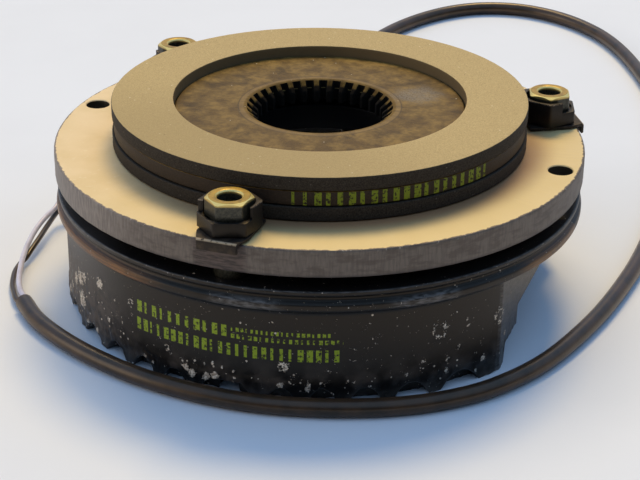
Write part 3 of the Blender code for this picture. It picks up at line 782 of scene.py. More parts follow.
def lining_composite():
    """Pressed friction material: ground, speckled tan on top, dark, coarse and printed round the edge."""
    f = Finish("friction_lining")
    fine = f.grain(0.35, 5.0)
    coarse = f.grain(1.1, 4.0)
    face = f.times(f.ramp(f.up, 0.75, 0.95), f.ramp(f.z, ROTOR_TOP - 0.8, ROTOR_TOP - 0.5))
    tan = f.blend(f.ramp(fine, 0.3, 0.7), tone(170, 145, 97), tone(204, 178, 125))
    tan = f.blend(f.times(f.ramp(coarse, 0.35, 0.7), 0.5), tan, tone(190, 163, 112))
    tan = f.blend(f.times(f.specks(2.3, 0.22, 0.3), 0.8), tan, tone(236, 220, 182))
    tan = f.blend(f.times(f.specks(4.1, 0.25, 0.2), 0.7), tan, tone(96, 76, 48))
    # Painted shade: the top is darker towards the front.
    tan = f.blend(f.times(f.towards(FRONT, 0.2, 1.0), 0.5), tan, tone(156, 134, 92))
    side = f.blend(f.ramp(fine, 0.3, 0.7), tone(34, 29, 24), tone(64, 57, 48))
    side = f.blend(f.times(f.specks(1.7, 0.16, 0.3), 0.6), side, tone(122, 112, 100))
    side = f.blend(f.times(f.ramp(f.radius, 42.0, 41.0), 0.9), side, tone(122, 100, 66))
    colour = f.blend(face, side, tan)
    colour = f.blend(print_mask(f, MARKED_ROWS), colour, FADED_INK)
    relief = f.plus(f.times(fine, 0.6), f.times(coarse, 0.4))
    return f.ready(colour, f.plus(f.times(fine, 0.15), 0.68), 0.0, relief, 0.12, specular=0.25, tint=WARM)


def carrier_metal():
    """The rotor's hub disc: brown dust with radial smears, a grey rubbed patch, a spline and bore painted
    black as painted shade, and a dark edge.
    """
    f = Finish("carrier_metal")
    safe = f.plus(f.radius, 0.01)
    around = f.joined(f.math("DIVIDE", f.x, safe), f.math("DIVIDE", f.y, safe), f.times(f.radius, 0.012))
    spokes = f.grain(0.09, 4.0, vector=around)
    cloud = f.grain(5.0, 5.0)
    fine = f.grain(0.5, 5.0)
    floor = f.blend(f.ramp(cloud, 0.32, 0.68), tone(82, 60, 24), tone(128, 101, 50))
    smears = f.times(f.ramp(spokes, 0.46, 0.7), f.ramp(f.grain(11.0, 3.0), 0.4, 0.62), 0.8)
    floor = f.blend(smears, floor, tone(46, 32, 13))
    floor = f.blend(f.times(f.ramp(f.grain(1.3, 5.0), 0.42, 0.66), 0.45), floor, tone(64, 47, 20))
    floor = f.blend(f.times(f.ramp(fine, 0.52, 0.78), 0.4), floor, tone(148, 121, 68))
    floor = f.blend(f.specks(2.4, 0.18, 0.16), floor, tone(214, 200, 174))
    away = f.node("VectorMath", operation="DISTANCE")
    f.feed(f.place, away.inputs[0])
    away.inputs[1].default_value = RUBBED_PATCH
    ragged = f.plus(away.outputs["Value"], f.times(cloud, 9.0))
    rubbed = f.times(f.ramp(ragged, 13.5, 7.5), f.ramp(fine, 0.3, 0.55))
    floor = f.blend(f.times(rubbed, 0.45), floor, tone(146, 134, 112))
    lip = f.within(f.radius, SPLINE_ROOT, SPLINE_ROOT + 2.6, 0.3)
    floor = f.blend(f.times(lip, 0.3), floor, tone(150, 122, 78))
    floor = f.blend(f.times(f.within(f.radius, 22.4, 22.8, 0.15), 0.7), floor, tone(60, 46, 28))
    # Painted shade: the spline's teeth near black.
    painted_spline_shade = f.ramp(f.radius, SPLINE_ROOT - 0.9, SPLINE_ROOT - 1.5)
    floor = f.blend(painted_spline_shade, floor, tone(6, 5, 4))
    flat = f.ramp(f.up, 0.35, 0.6)
    # Upright faces: painted black shade near the bore, dark brown at the outer edge.
    edge = f.ramp(f.radius, 30.0, 45.0)
    dark = f.blend(edge, tone(5, 5, 5), tone(38, 31, 25))
    dark = f.blend(f.times(f.ramp(fine, 0.35, 0.75), edge, 0.35), dark, tone(80, 62, 50))
    colour = f.blend(flat, dark, floor)
    colour = f.blend(print_mask(f, MARKED_ROWS), colour, FADED_INK)
    shine = f.between(rubbed, f.plus(f.times(fine, 0.25), 0.42), 0.36)
    shine = f.math("MAXIMUM", shine, f.ramp(f.radius, 22.0, 20.6))
    relief = f.plus(f.times(spokes, 0.35), f.times(fine, 0.35), f.times(cloud, 0.3))
    return f.ready(colour, shine, f.times(flat, 0.1), relief, 0.2, specular=0.3, tint=WARM)


def chromated():
    """Yellow chromated steel: gold, in places stained, on the ends, with painted highlights along the top
    edges; the sides are a dark painted reflection.
    """
    f = Finish("chromated_steel")
    fine = f.grain(0.5, 4.0)
    stain = f.ramp(f.grain(1.6, 4.0), 0.45, 0.7)
    gold = f.blend(f.times(stain, 0.7), tone(184, 144, 44), tone(132, 98, 28))
    side = f.blend(f.ramp(fine, 0.3, 0.7), tone(46, 44, 36), tone(76, 72, 58))
    # Painted highlight: a bright band along the top of the sides.
    painted_edge_highlight = f.ramp(f.z, SLEEVE_HIGH.z - 1.1, SLEEVE_HIGH.z - 0.5)
    side = f.blend(painted_edge_highlight, side, tone(214, 182, 104))
    # Painted highlight: a bright ring on the cone just under the top.
    gold = f.blend(f.within(f.z, SLEEVE_HIGH.z - 0.6, SLEEVE_HIGH.z - 0.05, 0.03), gold, tone(244, 214, 128))
    # The sides are painted dark, as a painted reflection.
    colour = f.blend(f.ramp(f.up, 0.3, 0.6), side, gold)
    return f.ready(colour, f.plus(f.times(fine, 0.12), 0.26), 0.55, fine, 0.01)


def blackened():
    """Blackened steel, browner where it is thin, and bright along a few top edges as wear and painted
    highlight.
    """
    f = Finish("blackened_steel")
    fine = f.grain(0.4, 4.0)
    cloud = f.grain(3.0, 4.0)
    colour = f.blend(f.ramp(cloud, 0.45, 0.75), tone(11, 10, 11), tone(20, 17, 16))
    # Bright top edges: wear and a painted highlight.
    top_edge = f.times(f.within(f.z, NUT_HIGH.z - 0.3, NUT_HIGH.z - 0.02, 0.05), f.ramp(f.up, 0.9, 0.6))
    worn = f.times(top_edge, f.ramp(f.grain(0.9, 4.0), 0.4, 0.6))
    colour = f.blend(worn, colour, tone(150, 132, 112))
    shine = f.plus(f.times(fine, 0.2), 0.36)
    return f.ready(colour, shine, f.times(worn, 0.6), fine, 0.03, specular=0.4, tint=WARM)


def worn_plate():
    """A lock plate's thin, rubbed blackening over rusty steel."""
    f = Finish("worn_plate")
    fine = f.grain(0.4, 4.0)
    cloud = f.grain(2.2, 5.0)
    colour = f.blend(f.ramp(cloud, 0.42, 0.72), tone(30, 25, 23), tone(62, 50, 38))
    colour = f.blend(f.times(f.ramp(fine, 0.6, 0.8), 0.3), colour, tone(100, 84, 66))
    # The pale bend is wear and a painted highlight.
    worn = f.times(f.ramp(f.attribute("edge"), 0.75, 1.0), f.ramp(f.grain(0.9, 4.0), 0.3, 0.5))
    colour = f.blend(worn, colour, tone(176, 154, 124))
    return f.ready(colour, f.plus(f.times(fine, 0.3), 0.4), 0.1, fine, 0.06, specular=0.4, tint=WARM)


def turned_steel(name, light, dark):
    """Oiled machined steel with fine turning lines."""
    f = Finish(name)
    lines = f.grain(0.35, 3.0, vector=f.joined(f.radius, f.z, 0.0))
    cloud = f.grain(4.0, 4.0)
    colour = f.blend(f.ramp(cloud, 0.35, 0.68), light, dark)
    return f.ready(colour, f.plus(f.times(lines, 0.2), 0.25), 0.9, lines, 0.03)


def plastic(name, light, dark, rough, depth=0.02, coat=0.0):
    """A smooth moulded or extruded plastic with faint mottling."""
    f = Finish(name)
    cloud = f.grain(7.0, 4.0)
    fine = f.grain(0.6, 3.0)
    colour = f.blend(f.ramp(cloud, 0.35, 0.7), light, dark)
    shine = f.plus(f.times(fine, 0.12), rough)
    return f.ready(colour, shine, 0.0, fine, depth, coat=coat, tint=WARM)


def wound_copper():
    """Enamelled wire, wound in layers."""
    f = Finish("wound_copper")
    turns = f.math("FRACT", f.times(f.z, 1.6))
    colour = f.blend(f.ramp(turns, 0.1, 0.5), tone(120, 56, 24), tone(190, 104, 52))
    return f.ready(colour, f.plus(f.times(f.grain(2.0), 0.15), 0.3), 0.8, turns, 0.2)


def floor_paper():
    """A plain pale surface."""
    f = Finish("floor_paper")
    cloud = f.ramp(f.grain(60.0, 3.0), 0.3, 0.7)
    colour = f.blend(cloud, (0.80, 0.80, 0.80, 1.0), (0.82, 0.82, 0.82, 1.0))
    shine = f.plus(f.times(f.grain(2.0), 0.1), 0.75)
    return f.ready(colour, shine, 0.0, f.grain(1.2, 3.0), 0.02, specular=0.2)


# Where the printing is: levels, angles, the flank's radius and the pitch of the blocks
PRINTED_ROWS = (
    (17.4, 20.6, 248.6, 270.8, BODY_RADIUS, 2.6),
    (19.2, 20.3, 271.6, 292.0, BODY_RADIUS, 1.3),
    (17.2, 18.4, 271.6, 294.6, BODY_RADIUS, 1.5),
    (12.2, 15.6, 248.4, 294.4, BODY_RADIUS, 2.3),
)
MARKED_ROWS = ((48.8, 52.4, 282.5, 339.5, LINING_RADIUS, 2.9),)
FRESH_INK = tone(140, 158, 34)
FADED_INK = tone(122, 134, 34)
RUBBED_PATCH = (23.0, 17.0, 53.6)


# ---------------------------------------------------------------- housing


def notch_lift(radius, angle):
    """How far the skirt's lower face is above the table, at a radius and an angle in radians."""
    degrees = np.degrees(angle) % 360
    turned = (degrees + 180) % 360 - 180
    nearest = np.round((degrees - 30) / 120) * 120 + 30
    aside = np.abs(BODY_RADIUS * np.sin(np.radians(degrees - nearest)))
    lift = NOTCH_HEIGHT * (1 - np.minimum(aside / WIDE_NOTCH_HALF, 1.0) ** 5)
    for offset in NOTCH_OFFSETS:
        away = np.minimum(np.abs(aside - offset) / NOTCH_HALF, 1.0)
        lift = np.maximum(lift, NOTCH_HEIGHT * (1 - away**2.4))
    first, last = OPENING_ANGLES
    lift = np.where((turned > FLAT_CORNER) & (turned < last), 0.0, lift)
    lift = lift * smooth_step(radius, NOTCH_INNER - 0.1, NOTCH_INNER + 0.1)
    across = BODY_RADIUS * np.sin(angle)
    foot = FLAT_FOOT * smooth_step(across, FLAT_FOOT_START - 0.5, FLAT_FOOT_START + 0.5)
    lift = np.where((turned > FLAT_CORNER) & (turned < 0), np.maximum(lift, foot), lift)
    opening = smooth_step(turned, first - 0.5, first + 0.5) * smooth_step(-turned, -last - 0.5, 0.5 - last)
    return np.maximum(lift, OPENING_HEIGHT * opening)


def corrosion(points):
    """How corroded the housing is at each point, from 0 to 1."""
    angle = np.degrees(np.arctan2(points[:, 1], points[:, 0])) % 360
    outer = reach_of(points) > 61.0
    total = np.zeros(len(points))
    for spot_angle, height, radius, ring in SPOTS:
        aside = (angle - spot_angle + 180) % 360 - 180
        away = np.hypot(np.radians(aside) * BODY_RADIUS, (points[:, 2] - height) * 0.9) / radius
        mark = smooth_step(1.3 - away, 0.0, 1.0)
        if ring:
            mark *= smooth_step(away, 0.3, 0.75) * 0.85 + 0.15
        total = np.maximum(total, mark)
    return np.where(outer, total, 0.0)


def reach_of(points):
    """How far each point is from the shaft's axis."""
    return np.hypot(points[:, 0], points[:, 1])


def push_out(points, reach, amounts):
    """Moves each point away from the shaft's axis by its own amount."""
    points[:, :2] *= (1 + amounts / reach)[:, None]


def paint_attribute(obj, name, values):
    """Stores a number on each point of a mesh, for its material."""
    stored = obj.data.attributes.new(name, "FLOAT", "POINT")
    stored.data.foreach_set("value", np.asarray(values, np.float32))


def points_of(obj):
    """An object's points in millimetres, as an array."""
    flat = np.zeros(len(obj.data.vertices) * 3, np.float32)
    obj.data.vertices.foreach_get("co", flat)
    return flat.reshape(-1, 3) / MM


def move_points(obj, points):
    """Puts an object's points at places in millimetres."""
    obj.data.vertices.foreach_set("co", (np.asarray(points) * MM).astype(np.float32).ravel())
    obj.data.update()


def housing_shell(finish):
    """The outer pole with its bead and its lip, the notched skirt and the flat side."""
    outline = [
        (SKIRT_INNER, 0.0),
        (NOTCH_INNER - 0.2, 0.0),
        (NOTCH_INNER + 0.2, 0.0),
        (BODY_RADIUS, 0.0),
        (BODY_RADIUS, FLAT_TOP - 0.4),
        (BODY_RADIUS + 0.3, FLAT_TOP + 0.4),
        (BODY_RADIUS + 1.0, FLAT_TOP + 1.0),
        (RIM_RADIUS - 0.3, FLAT_TOP + 1.3),
        (RIM_RADIUS, FLAT_TOP + 1.8),
        (RIM_RADIUS, RIM_TOP),
        (GROOVE_RADIUS, GROOVE_BOTTOM),
        (GROOVE_RADIUS, GROOVE_TOP),
        (LIP_RADIUS, LIP_BOTTOM),
        (LIP_RADIUS, POLE_FACE),
        (OUTER_POLE_INNER, POLE_FACE),
        (OUTER_POLE_INNER, COIL_FLOOR + 0.1),
        (SKIRT_INNER, COIL_FLOOR + 0.1),
    ]
    profile = spaced(rounded(outline, 0.55), 0.55, lambda radius, height: radius > 67 and height < 28)

    def shape(radius, height, angle):
        lift = notch_lift(radius, angle)
        height = np.where(height < 12, height + lift * (1 - height / 12), height)
        across = np.cos(angle)
        cut = np.minimum(radius, FLAT_DISTANCE / np.maximum(across, 0.1))
        return np.where((across > 0) & (height < FLAT_TOP), cut, radius), height

    shell = lathe("housing_shell", profile, 1080, shape)
    screws = [polar(SCREW_CIRCLE, degrees) for degrees in SCREW_ANGLES.values()]
    take_away(shell, drum(screws, SLEEVE_HOLE + 0.15, -3.0, POLE_FACE + 1, 0.0, 32))
    take_away(shell, drum(screws, SLEEVE_SHANK + 0.3, SLEEVE_LOW.z - 0.3, POLE_FACE + 1, 0.0, 32))
    points = points_of(shell)
    angle = np.degrees(np.arctan2(points[:, 1], points[:, 0])) % 360
    reach = reach_of(points)
    outside = reach > 62.0
    spots = corrosion(points)
    low = smooth_step(11 - points[:, 2], 0.0, 8.0)
    lumpy = 0.35 + 0.65 * smooth_step(-np.abs(angle - 215), -40.0, -10.0)
    lumps = rough(points, 2.4, 3.0) * low * lumpy * 0.55 + rough(points, 0.9, 5.0) * low * 0.16
    outward = np.where(outside & (reach > 69.0 - 7.6), spots * 0.14 + lumps, 0.0)
    outward = np.minimum(outward, RIM_RADIUS - reach)
    push_out(points, reach, outward)
    points[:, 2] = np.maximum(points[:, 2] + rough(points, 1.7, 9.0) * low * 0.35 * outside, 0.0)
    move_points(shell, points)
    paint_attribute(shell, "corrosion", spots)
    # Brown marks on the bead: painted sheen and wear.
    bead = smooth_step(reach, BODY_RADIUS + 0.6, RIM_RADIUS - 0.2) * (points[:, 2] < 30.4)
    cloud = rough(points, 9.0, 2.0)
    left = smooth_step(-np.abs(angle - 229), -30.0, -14.0)
    right = smooth_step(-np.abs(angle - 349), -17.0, -8.0)
    rear = smooth_step(-np.abs(angle - 120), -60.0, -20.0) * smooth_step(cloud, 0.0, 0.4)
    paint_attribute(shell, "brown_sheen_and_wear", bead * np.clip(left + right * 0.8 + rear, 0, 1))
    # Grey marks: painted highlights on the front of the bead and along the lip, and the grey of the flat
    # side's cut face.
    front = smooth_step(-np.abs(angle - 275), -9.0, -4.0) + smooth_step(-np.abs(angle - 311), -9.0, -4.0)
    lip = smooth_step(reach, LIP_RADIUS - 0.4, LIP_RADIUS - 0.1)
    lip *= np.abs(points[:, 2] - POLE_FACE + 0.2) < 0.3
    flat = (np.abs(points[:, 0] - FLAT_DISTANCE) < 0.6) & (points[:, 2] < FLAT_TOP)
    paint_attribute(shell, "grey_highlights_and_wear", np.clip(bead * front * 0.9 + lip * 0.7 + flat * 0.55, 0, 1))
    return place(shell, "stator", "black_paint", finish, "magnet_housing", sharp=50)


def housing_core(finish):
    """The inner pole, the chamber's floor and the boss round the adjuster."""
    outline = [
        (BORE, RECESS_CEILING),
        (RECESS_RADIUS, RECESS_CEILING),
        (RECESS_RADIUS, BOSS_BOTTOM),
        (BOSS_RADIUS, BOSS_BOTTOM),
        (BOSS_RADIUS, SKIRT_DEPTH),
        (SKIRT_INNER + 0.1, SKIRT_DEPTH),
        (SKIRT_INNER + 0.1, COIL_FLOOR),
        (INNER_POLE, COIL_FLOOR),
        (INNER_POLE, POLE_FACE),
        (BORE, POLE_FACE),
    ]
    core = lathe("housing_core", rounded(outline, 0.5), 256)
    springs = [polar(SPRING_CIRCLE, 30 + 60 * i) for i in range(6)]
    take_away(core, drum(springs, SPRING_POCKET, RECESS_CEILING - 2, POLE_FACE + 1))
    return place(core, "stator", "black_paint", finish)


def gland(finish):
    """The rubber bush round the coil's wires, with a stepped, rounded nose."""
    start, collar = OUTER_POLE_INNER + 1.0, BODY_RADIUS + 0.3
    line = [start, *(collar + step for step in (0.0, 0.0, 1.2, 1.6, 2.0, 3.2, 3.9, 4.2))]
    radii = [4.5, 4.5, 6.0, 6.0, 5.6, 4.4, 3.7, 3.4, 2.8]
    line = [value + 0.01 * k for k, value in enumerate(line)]
    turn = Matrix.Rotation(math.radians(GLAND_ANGLE), 3, "Z")
    points = [turn @ Vector((value, 0.0, 0.0)) + Vector((0.0, 0.0, GLAND_HEIGHT)) for value in line]
    bush = rod("gland_bush", points, radii, 48)
    return place(bush, "stator", "black_rubber", finish, "cable_gland")


# ---------------------------------------------------------------- plate, rotor


def armature_disc(finish):
    """The armature plate: a worn, uneven edge, clearance holes and two hand-release holes."""
    outline = [
        (PLATE_BORE, PLATE_BOTTOM),
        (PLATE_RADIUS, PLATE_BOTTOM),
        (PLATE_RADIUS, PLATE_TOP),
        (PLATE_BORE, PLATE_TOP),
    ]
    profile = spaced(rounded(outline, 0.6, 5), 0.6, lambda radius, height: radius > PLATE_RADIUS - 0.3)
    disc = lathe("armature_disc", profile, 900)
    points = points_of(disc)
    reach = reach_of(points)
    edge = smooth_step(reach, PLATE_RADIUS - 1.0, PLATE_RADIUS - 0.7)
    worn = rough(points, 3.2, 1.0) * 0.05 + rough(points, 0.9, 4.0) * 0.04 - 0.05
    push_out(points, reach, np.minimum(worn, 0.0) * edge)
    top = points[:, 2] > (PLATE_TOP + PLATE_BOTTOM) / 2
    chipped = np.minimum(rough(points, 1.3, 7.0) * 0.1, 0.0) * edge
    points[:, 2] += np.where(top, chipped, -chipped * 0.6)
    move_points(disc, points)
    screws = [polar(SCREW_CIRCLE, degrees) for degrees in SCREW_ANGLES.values()]
    take_away(disc, drum(screws, SLEEVE_SHANK + 0.7, PLATE_BOTTOM - 1, PLATE_TOP + 1))
    release = [polar(RELEASE_CIRCLE, degrees) for degrees in (0.0, 180.0)]
    take_away(disc, drum(release, RELEASE_HOLE - 0.05, PLATE_BOTTOM - 0.25, PLATE_TOP + 0.25, 0.5, 48))
    points = points_of(disc)
    outer = reach_of(points) > PLATE_RADIUS - 0.5
    total = np.zeros(len(points))
    for degrees in SCREW_ANGLES.values():
        turned = points @ np.array(Matrix.Rotation(math.radians(degrees), 3, "Z"))
        aside = np.abs(turned[:, 1] + rough(points, 2.0, 8.0) * 0.8)
        total += (turned[:, 0] > 60) * smooth_step(7.6 - aside, 0.0, 1.4) * outer
    paint_attribute(disc, "scuffed", total)
    return place(disc, "armature", "nitrided_steel", finish, "armature_plate")


def lining(name, node, box, finish):
    """One friction lining: a ring with nearly sharp, slightly chipped edges."""
    low, high = box[0].z, box[1].z
    outline = [(LINING_INNER, low), (LINING_RADIUS, low), (LINING_RADIUS, high), (LINING_INNER, high)]
    profile = spaced(rounded(outline, 0.28), 0.7, lambda radius, height: True)
    ring = lathe(name, profile, 600)
    points = points_of(ring)
    reach = reach_of(points)
    middle = (LINING_INNER + LINING_RADIUS) / 2
    edge = smooth_step(np.abs(reach - middle), 8.2, 8.5)
    uneven = (rough(points, 1.6, 2.0) * 0.05 + rough(points, 0.6, 6.0) * 0.05 - 0.06) * edge
    push_out(points, reach, uneven * np.sign(reach - middle))
    move_points(ring, points)
    return place(ring, "rotor", "friction_lining", finish, node)


def carrier(finish):
    """The splined disc that both linings are bonded to."""
    inner = LINING_INNER - 0.3
    outline = [
        (SPLINE_TIP, WEB_LOW.z),
        (inner, WEB_LOW.z),
        (inner, LOWER_LINING[1].z + 0.3),
        (WEB_HIGH.y, LOWER_LINING[1].z + 0.3),
        (WEB_HIGH.y, UPPER_LINING[0].z - 0.3),
        (inner, UPPER_LINING[0].z - 0.3),
        (inner, WEB_HIGH.z),
        (SPLINE_ROOT + 0.4, WEB_HIGH.z),
        (SPLINE_TIP, WEB_HIGH.z - 2.6),
    ]
    profile = spaced(rounded(outline, 0.35, 3), 2.0, lambda radius, height: radius > SPLINE_ROOT + 0.5)

    def shape(radius, height, angle):
        phase = np.abs((angle * SPLINE_TEETH / (2 * math.pi) + 0.5) % 1 - 0.5)
        bore = SPLINE_TIP + (SPLINE_ROOT - SPLINE_TIP) * smooth_step(phase, 0.12, 0.36)
        return np.where(radius < 18.0, radius + bore - SPLINE_TIP, radius), height

    disc = lathe("carrier_disc", profile, SPLINE_TEETH * 24, shape)
    points = points_of(disc)
    reach = reach_of(points)
    floor = (points[:, 2] > WEB_HIGH.z - 0.05) & (reach > SPLINE_ROOT + 1) & (reach < inner - 0.5)
    points[:, 2] += np.where(floor, rough(points, 7.0, 3.0) * 0.18 - 0.1, 0.0)
    move_points(disc, points)
    return place(disc, "rotor", "carrier_metal", finish, "rotor_carrier")


# ---------------------------------------------------------------- screws


def hexagon_reach(angle, flats):
    """The distance from a hexagon's middle to its edge, with its corners a little blunt.

    angle is measured from the middle of one of the flats."""
    from_flat = (angle + math.pi / 6) % (math.pi / 3) - math.pi / 6
    return np.minimum(flats / 2 / np.cos(from_flat), flats / math.sqrt(3) * 0.985)


def sleeve(letter, degrees, finish):
    """A hollow sleeve: a hexagon head with a coned top, a long shank and a through hole."""
    top, bottom = SLEEVE_HIGH.z, SLEEVE_LOW.z
    flat_radius = SLEEVE_FLATS / 2 - 0.35
    outline = [
        (SLEEVE_HOLE, bottom),
        (SLEEVE_SHANK, bottom),
        (SLEEVE_SHANK, SLEEVE_HEAD_BOTTOM),
        (SLEEVE_FLATS, SLEEVE_HEAD_BOTTOM),
        (SLEEVE_FLATS, top),
        (flat_radius, top),
        (SLEEVE_HOLE + 0.45, top),
        (SLEEVE_HOLE, top - 0.45),
    ]
    outline = rounded(outline, 0.12, 2)
    profile = spaced(outline, 0.8, lambda radius, height: radius > flat_radius and height > top - 1)
    facing = math.radians(degrees + HEXAGON_TURNS[letter])

    def shape(radius, height, angle):
        reach = hexagon_reach(angle - facing, SLEEVE_FLATS)
        radius = np.where(radius > SLEEVE_SHANK + 0.2, np.minimum(radius, reach), radius)
        cone = top - np.maximum(radius - flat_radius, 0.0) * math.tan(math.radians(32))
        return radius, np.where(radius > SLEEVE_SHANK + 0.2, np.minimum(height, cone), height)

    centre = polar(SCREW_CIRCLE, degrees)
    body = lathe(f"sleeve_{letter}", profile, 144, shape, centre, facing)
    return place(body, "stator", "chromated_steel", finish, f"hollow_sleeve_{letter}", sharp=30)


def nut(letter, degrees, finish):
    """A black hexagon round the sleeve's head, cut lower on the side that faces out."""
    low, high = NUT_LOW.z, NUT_HIGH.z
    head_hole = SLEEVE_FLATS / math.sqrt(3) + 0.15
    outline = [
        (SLEEVE_SHANK + 0.3, low),
        (NUT_FLATS, low),
        (NUT_FLATS, high),
        (head_hole, high),
        (head_hole, SLEEVE_HEAD_BOTTOM - 0.3),
        (SLEEVE_SHANK + 0.3, SLEEVE_HEAD_BOTTOM - 0.3),
    ]
    facing = math.radians(degrees + HEXAGON_TURNS[letter])

    def shape(radius, height, angle):
        outer = hexagon_reach(angle - facing, NUT_FLATS)
        return np.where(radius > head_hole + 0.2, np.minimum(radius, outer), radius), height

    centre = polar(SCREW_CIRCLE, degrees)
    body = lathe(f"nut_{letter}", outline, 180, shape, centre, facing)
    turn = Matrix.Rotation(math.radians(degrees), 3, "Z")
    start = SCREW_CIRCLE + NUT_STEP_START
    section = ((-9.0, NUT_FRONT_TOP), (9.0, NUT_FRONT_TOP), (9.0, high + 1), (-9.0, high + 1))
    block = [turn @ Vector((x, y, z)) for x in (start, start + 9.0) for y, z in reversed(section)]
    take_away(body, quad_mesh("step", block, 2, 4, False))
    bevelled(body, 0.2)
    return place(body, "stator", "blackened_steel", finish, f"hexagon_nut_{letter}", sharp=30)


def bent_sheet(name, pairs, half_width, turn, stations=9):
    """A closed sheet bent along pairs of (radius, height), upper and lower.

    half_width(radius) is half the sheet's width."""
    count, last = len(pairs), stations - 1
    points = []
    for share in np.linspace(-1.0, 1.0, stations):
        for pair in pairs:
            points += [turn @ Vector((r, share * half_width(r), z)) for r, z in pair]

    def at(station, pair, side):
        return (station * count + pair) * 2 + side

    faces = []
    for s in range(last):
        for i in range(count - 1):
            faces.append((at(s, i, 0), at(s, i + 1, 0), at(s + 1, i + 1, 0), at(s + 1, i, 0)))
            faces.append((at(s, i, 1), at(s + 1, i, 1), at(s + 1, i + 1, 1), at(s, i + 1, 1)))
        faces.append((at(s, 0, 0), at(s + 1, 0, 0), at(s + 1, 0, 1), at(s, 0, 1)))
        end = count - 1
        faces.append((at(s, end, 0), at(s, end, 1), at(s + 1, end, 1), at(s + 1, end, 0)))
    for i in range(count - 1):
        faces.append((at(0, i, 1), at(0, i + 1, 1), at(0, i + 1, 0), at(0, i, 0)))
        faces.append((at(last, i, 0), at(last, i + 1, 0), at(last, i + 1, 1), at(last, i, 1)))
    mesh = bpy.data.meshes.new(name)
    mesh.from_pydata([tuple(c * MM for c in p) for p in points], [], faces)
    return new_object(name, mesh)


def lock_plate(letter, degrees, finish):
    """A thin plate under the nut, narrower outwards, its end bent down over the armature plate's edge."""
    low, high, foot = LOCK_HIGH.z - LOCK_THICKNESS, LOCK_HIGH.z, LOCK_LOW.z
    inner, start, end = (SCREW_CIRCLE + reach for reach in LOCK_REACHES)
    wide, narrow = LOCK_WIDTHS
    within = end - LOCK_THICKNESS
    pairs = [
        ((inner, high), (inner, low)),
        ((start, high), (start, low)),
        ((end - 1.3, high), (end - 1.3, low)),
        ((end - 0.7, high), (within - 0.25, low)),
        ((end - 0.2, high - 0.2), (within - 0.06, low - 0.06)),
        ((end, high - 0.7), (within, low - 0.25)),
        ((end, high - 1.2), (within, high - 1.2)),
        ((end, foot), (within, foot)),
    ]

    def half_width(radius):
        return float(np.interp(radius, (start, end), (wide / 2, narrow / 2)))

    turn = Matrix.Rotation(math.radians(degrees), 3, "Z")
    tab = bent_sheet(f"lock_tab_{letter}", pairs, half_width, turn)
    take_away(tab, drum([polar(SCREW_CIRCLE, degrees)], SLEEVE_SHANK + 0.3, low - 1, high + 1))
    bevelled(tab, 0.12)
    points = points_of(tab) @ np.array(turn)
    bend = smooth_step(-np.hypot(points[:, 0] - end + 0.3, points[:, 2] - high + 0.3), -0.7, -0.4)
    paint_attribute(tab, "edge", bend)
    return place(tab, "stator", "blackened_steel", finish, f"lock_plate_{letter}")


# ---------------------------------------------------------------- inside


def spring(number, finish):
    """A pressure spring with closed, ground ends."""
    centre = polar(SPRING_CIRCLE, 60 * (number - 0.5))
    bottom, top = SPRING_LOW.z, SPRING_HIGH.z
    close = SPRING_WIRE + 0.1
    open_turns = SPRING_TURNS - 2
    rise = (top - bottom - SPRING_WIRE - 2 * close) / open_turns
    line = []
    for turns in np.arange(0.0, SPRING_TURNS + 0.001, 1 / 28):
        height = bottom + SPRING_WIRE / 2 + close * min(turns, 1) + rise * min(max(turns - 1, 0), open_turns)
        height += close * max(turns - 1 - open_turns, 0)
        angle = 2 * math.pi * turns
        line.append(centre + Vector((SPRING_COIL * math.cos(angle), SPRING_COIL * math.sin(angle), height)))
    coil = rod(f"spring_{number}", line, SPRING_WIRE / 2, 12)
    points = points_of(coil)
    points[:, 2] = np.clip(points[:, 2], bottom, top)
    move_points(coil, points)
    place(coil, "stator", "spring_steel", finish, f"pressure_spring_{number}", sharp=50)
    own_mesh(coil)
    return coil


def thrust_ring(finish):
    """The ring that the springs stand on."""
    low, high, outer = THRUST_LOW.z, THRUST_HIGH.z, THRUST_HIGH.y
    outline = [(RING_BORE, low), (outer, low), (outer, high), (RING_BORE, high)]
    ring = lathe("spring_seat", rounded(outline, 0.3), 192)
    return place(ring, "thrust", "plain_steel", finish, "thrust_ring")


def adjuster(finish):
    """The threaded ring at the back, with four slots for a pin spanner."""
    low, high, outer = ADJUSTER_LOW.z, ADJUSTER_HIGH.z, ADJUSTER_HIGH.y
    right = [(outer, low + 0.6)]
    for i in range(int((high - low - 1.4) / THREAD_PITCH)):
        start = low + 0.7 + i * THREAD_PITCH
        right += [(outer - 0.75, start + THREAD_PITCH * 0.4), (outer, start + THREAD_PITCH * 0.8)]
    outline = [(RING_BORE, low), (outer - 0.6, low), *right, (outer - 0.4, high), (RING_BORE, high)]
    ring = lathe("adjuster_ring", rounded(outline, 0.15, 2), 192)
    section = ((-3.0, low - 1), (3.0, low - 1), (3.0, low + 3.0), (-3.0, low + 3.0))
    for i in range(4):
        turn = Matrix.Rotation(math.pi / 4 + math.pi / 2 * i, 3, "Z")
        block = [turn @ Vector((x, y, z)) for x in (31.5, 42.0) for y, z in reversed(section)]
        take_away(ring, quad_mesh("slot", block, 2, 4, False))
    bevelled(ring, 0.2)
    return place(ring, "adjuster", "plain_steel", finish, "torque_adjuster_ring")


# ---------------------------------------------------------------- cable


def wire(name, points, diameter, finish, slot, node):
    """A round wire as a curve, standing for its CAD node."""
    curve = bpy.data.curves.new(name, "CURVE")
    curve.dimensions = "3D"
    curve.bevel_depth = diameter / 2 * MM
    curve.bevel_resolution = 6
    curve.use_fill_caps = True
    spline = curve.splines.new("POLY")
    spline.points.add(len(points) - 1)
    for point, where in zip(spline.points, points):
        point.co = (*(where * MM), 1.0)
    spline.use_smooth = True
    return place(new_object(name, curve), "stator", slot, finish, node)


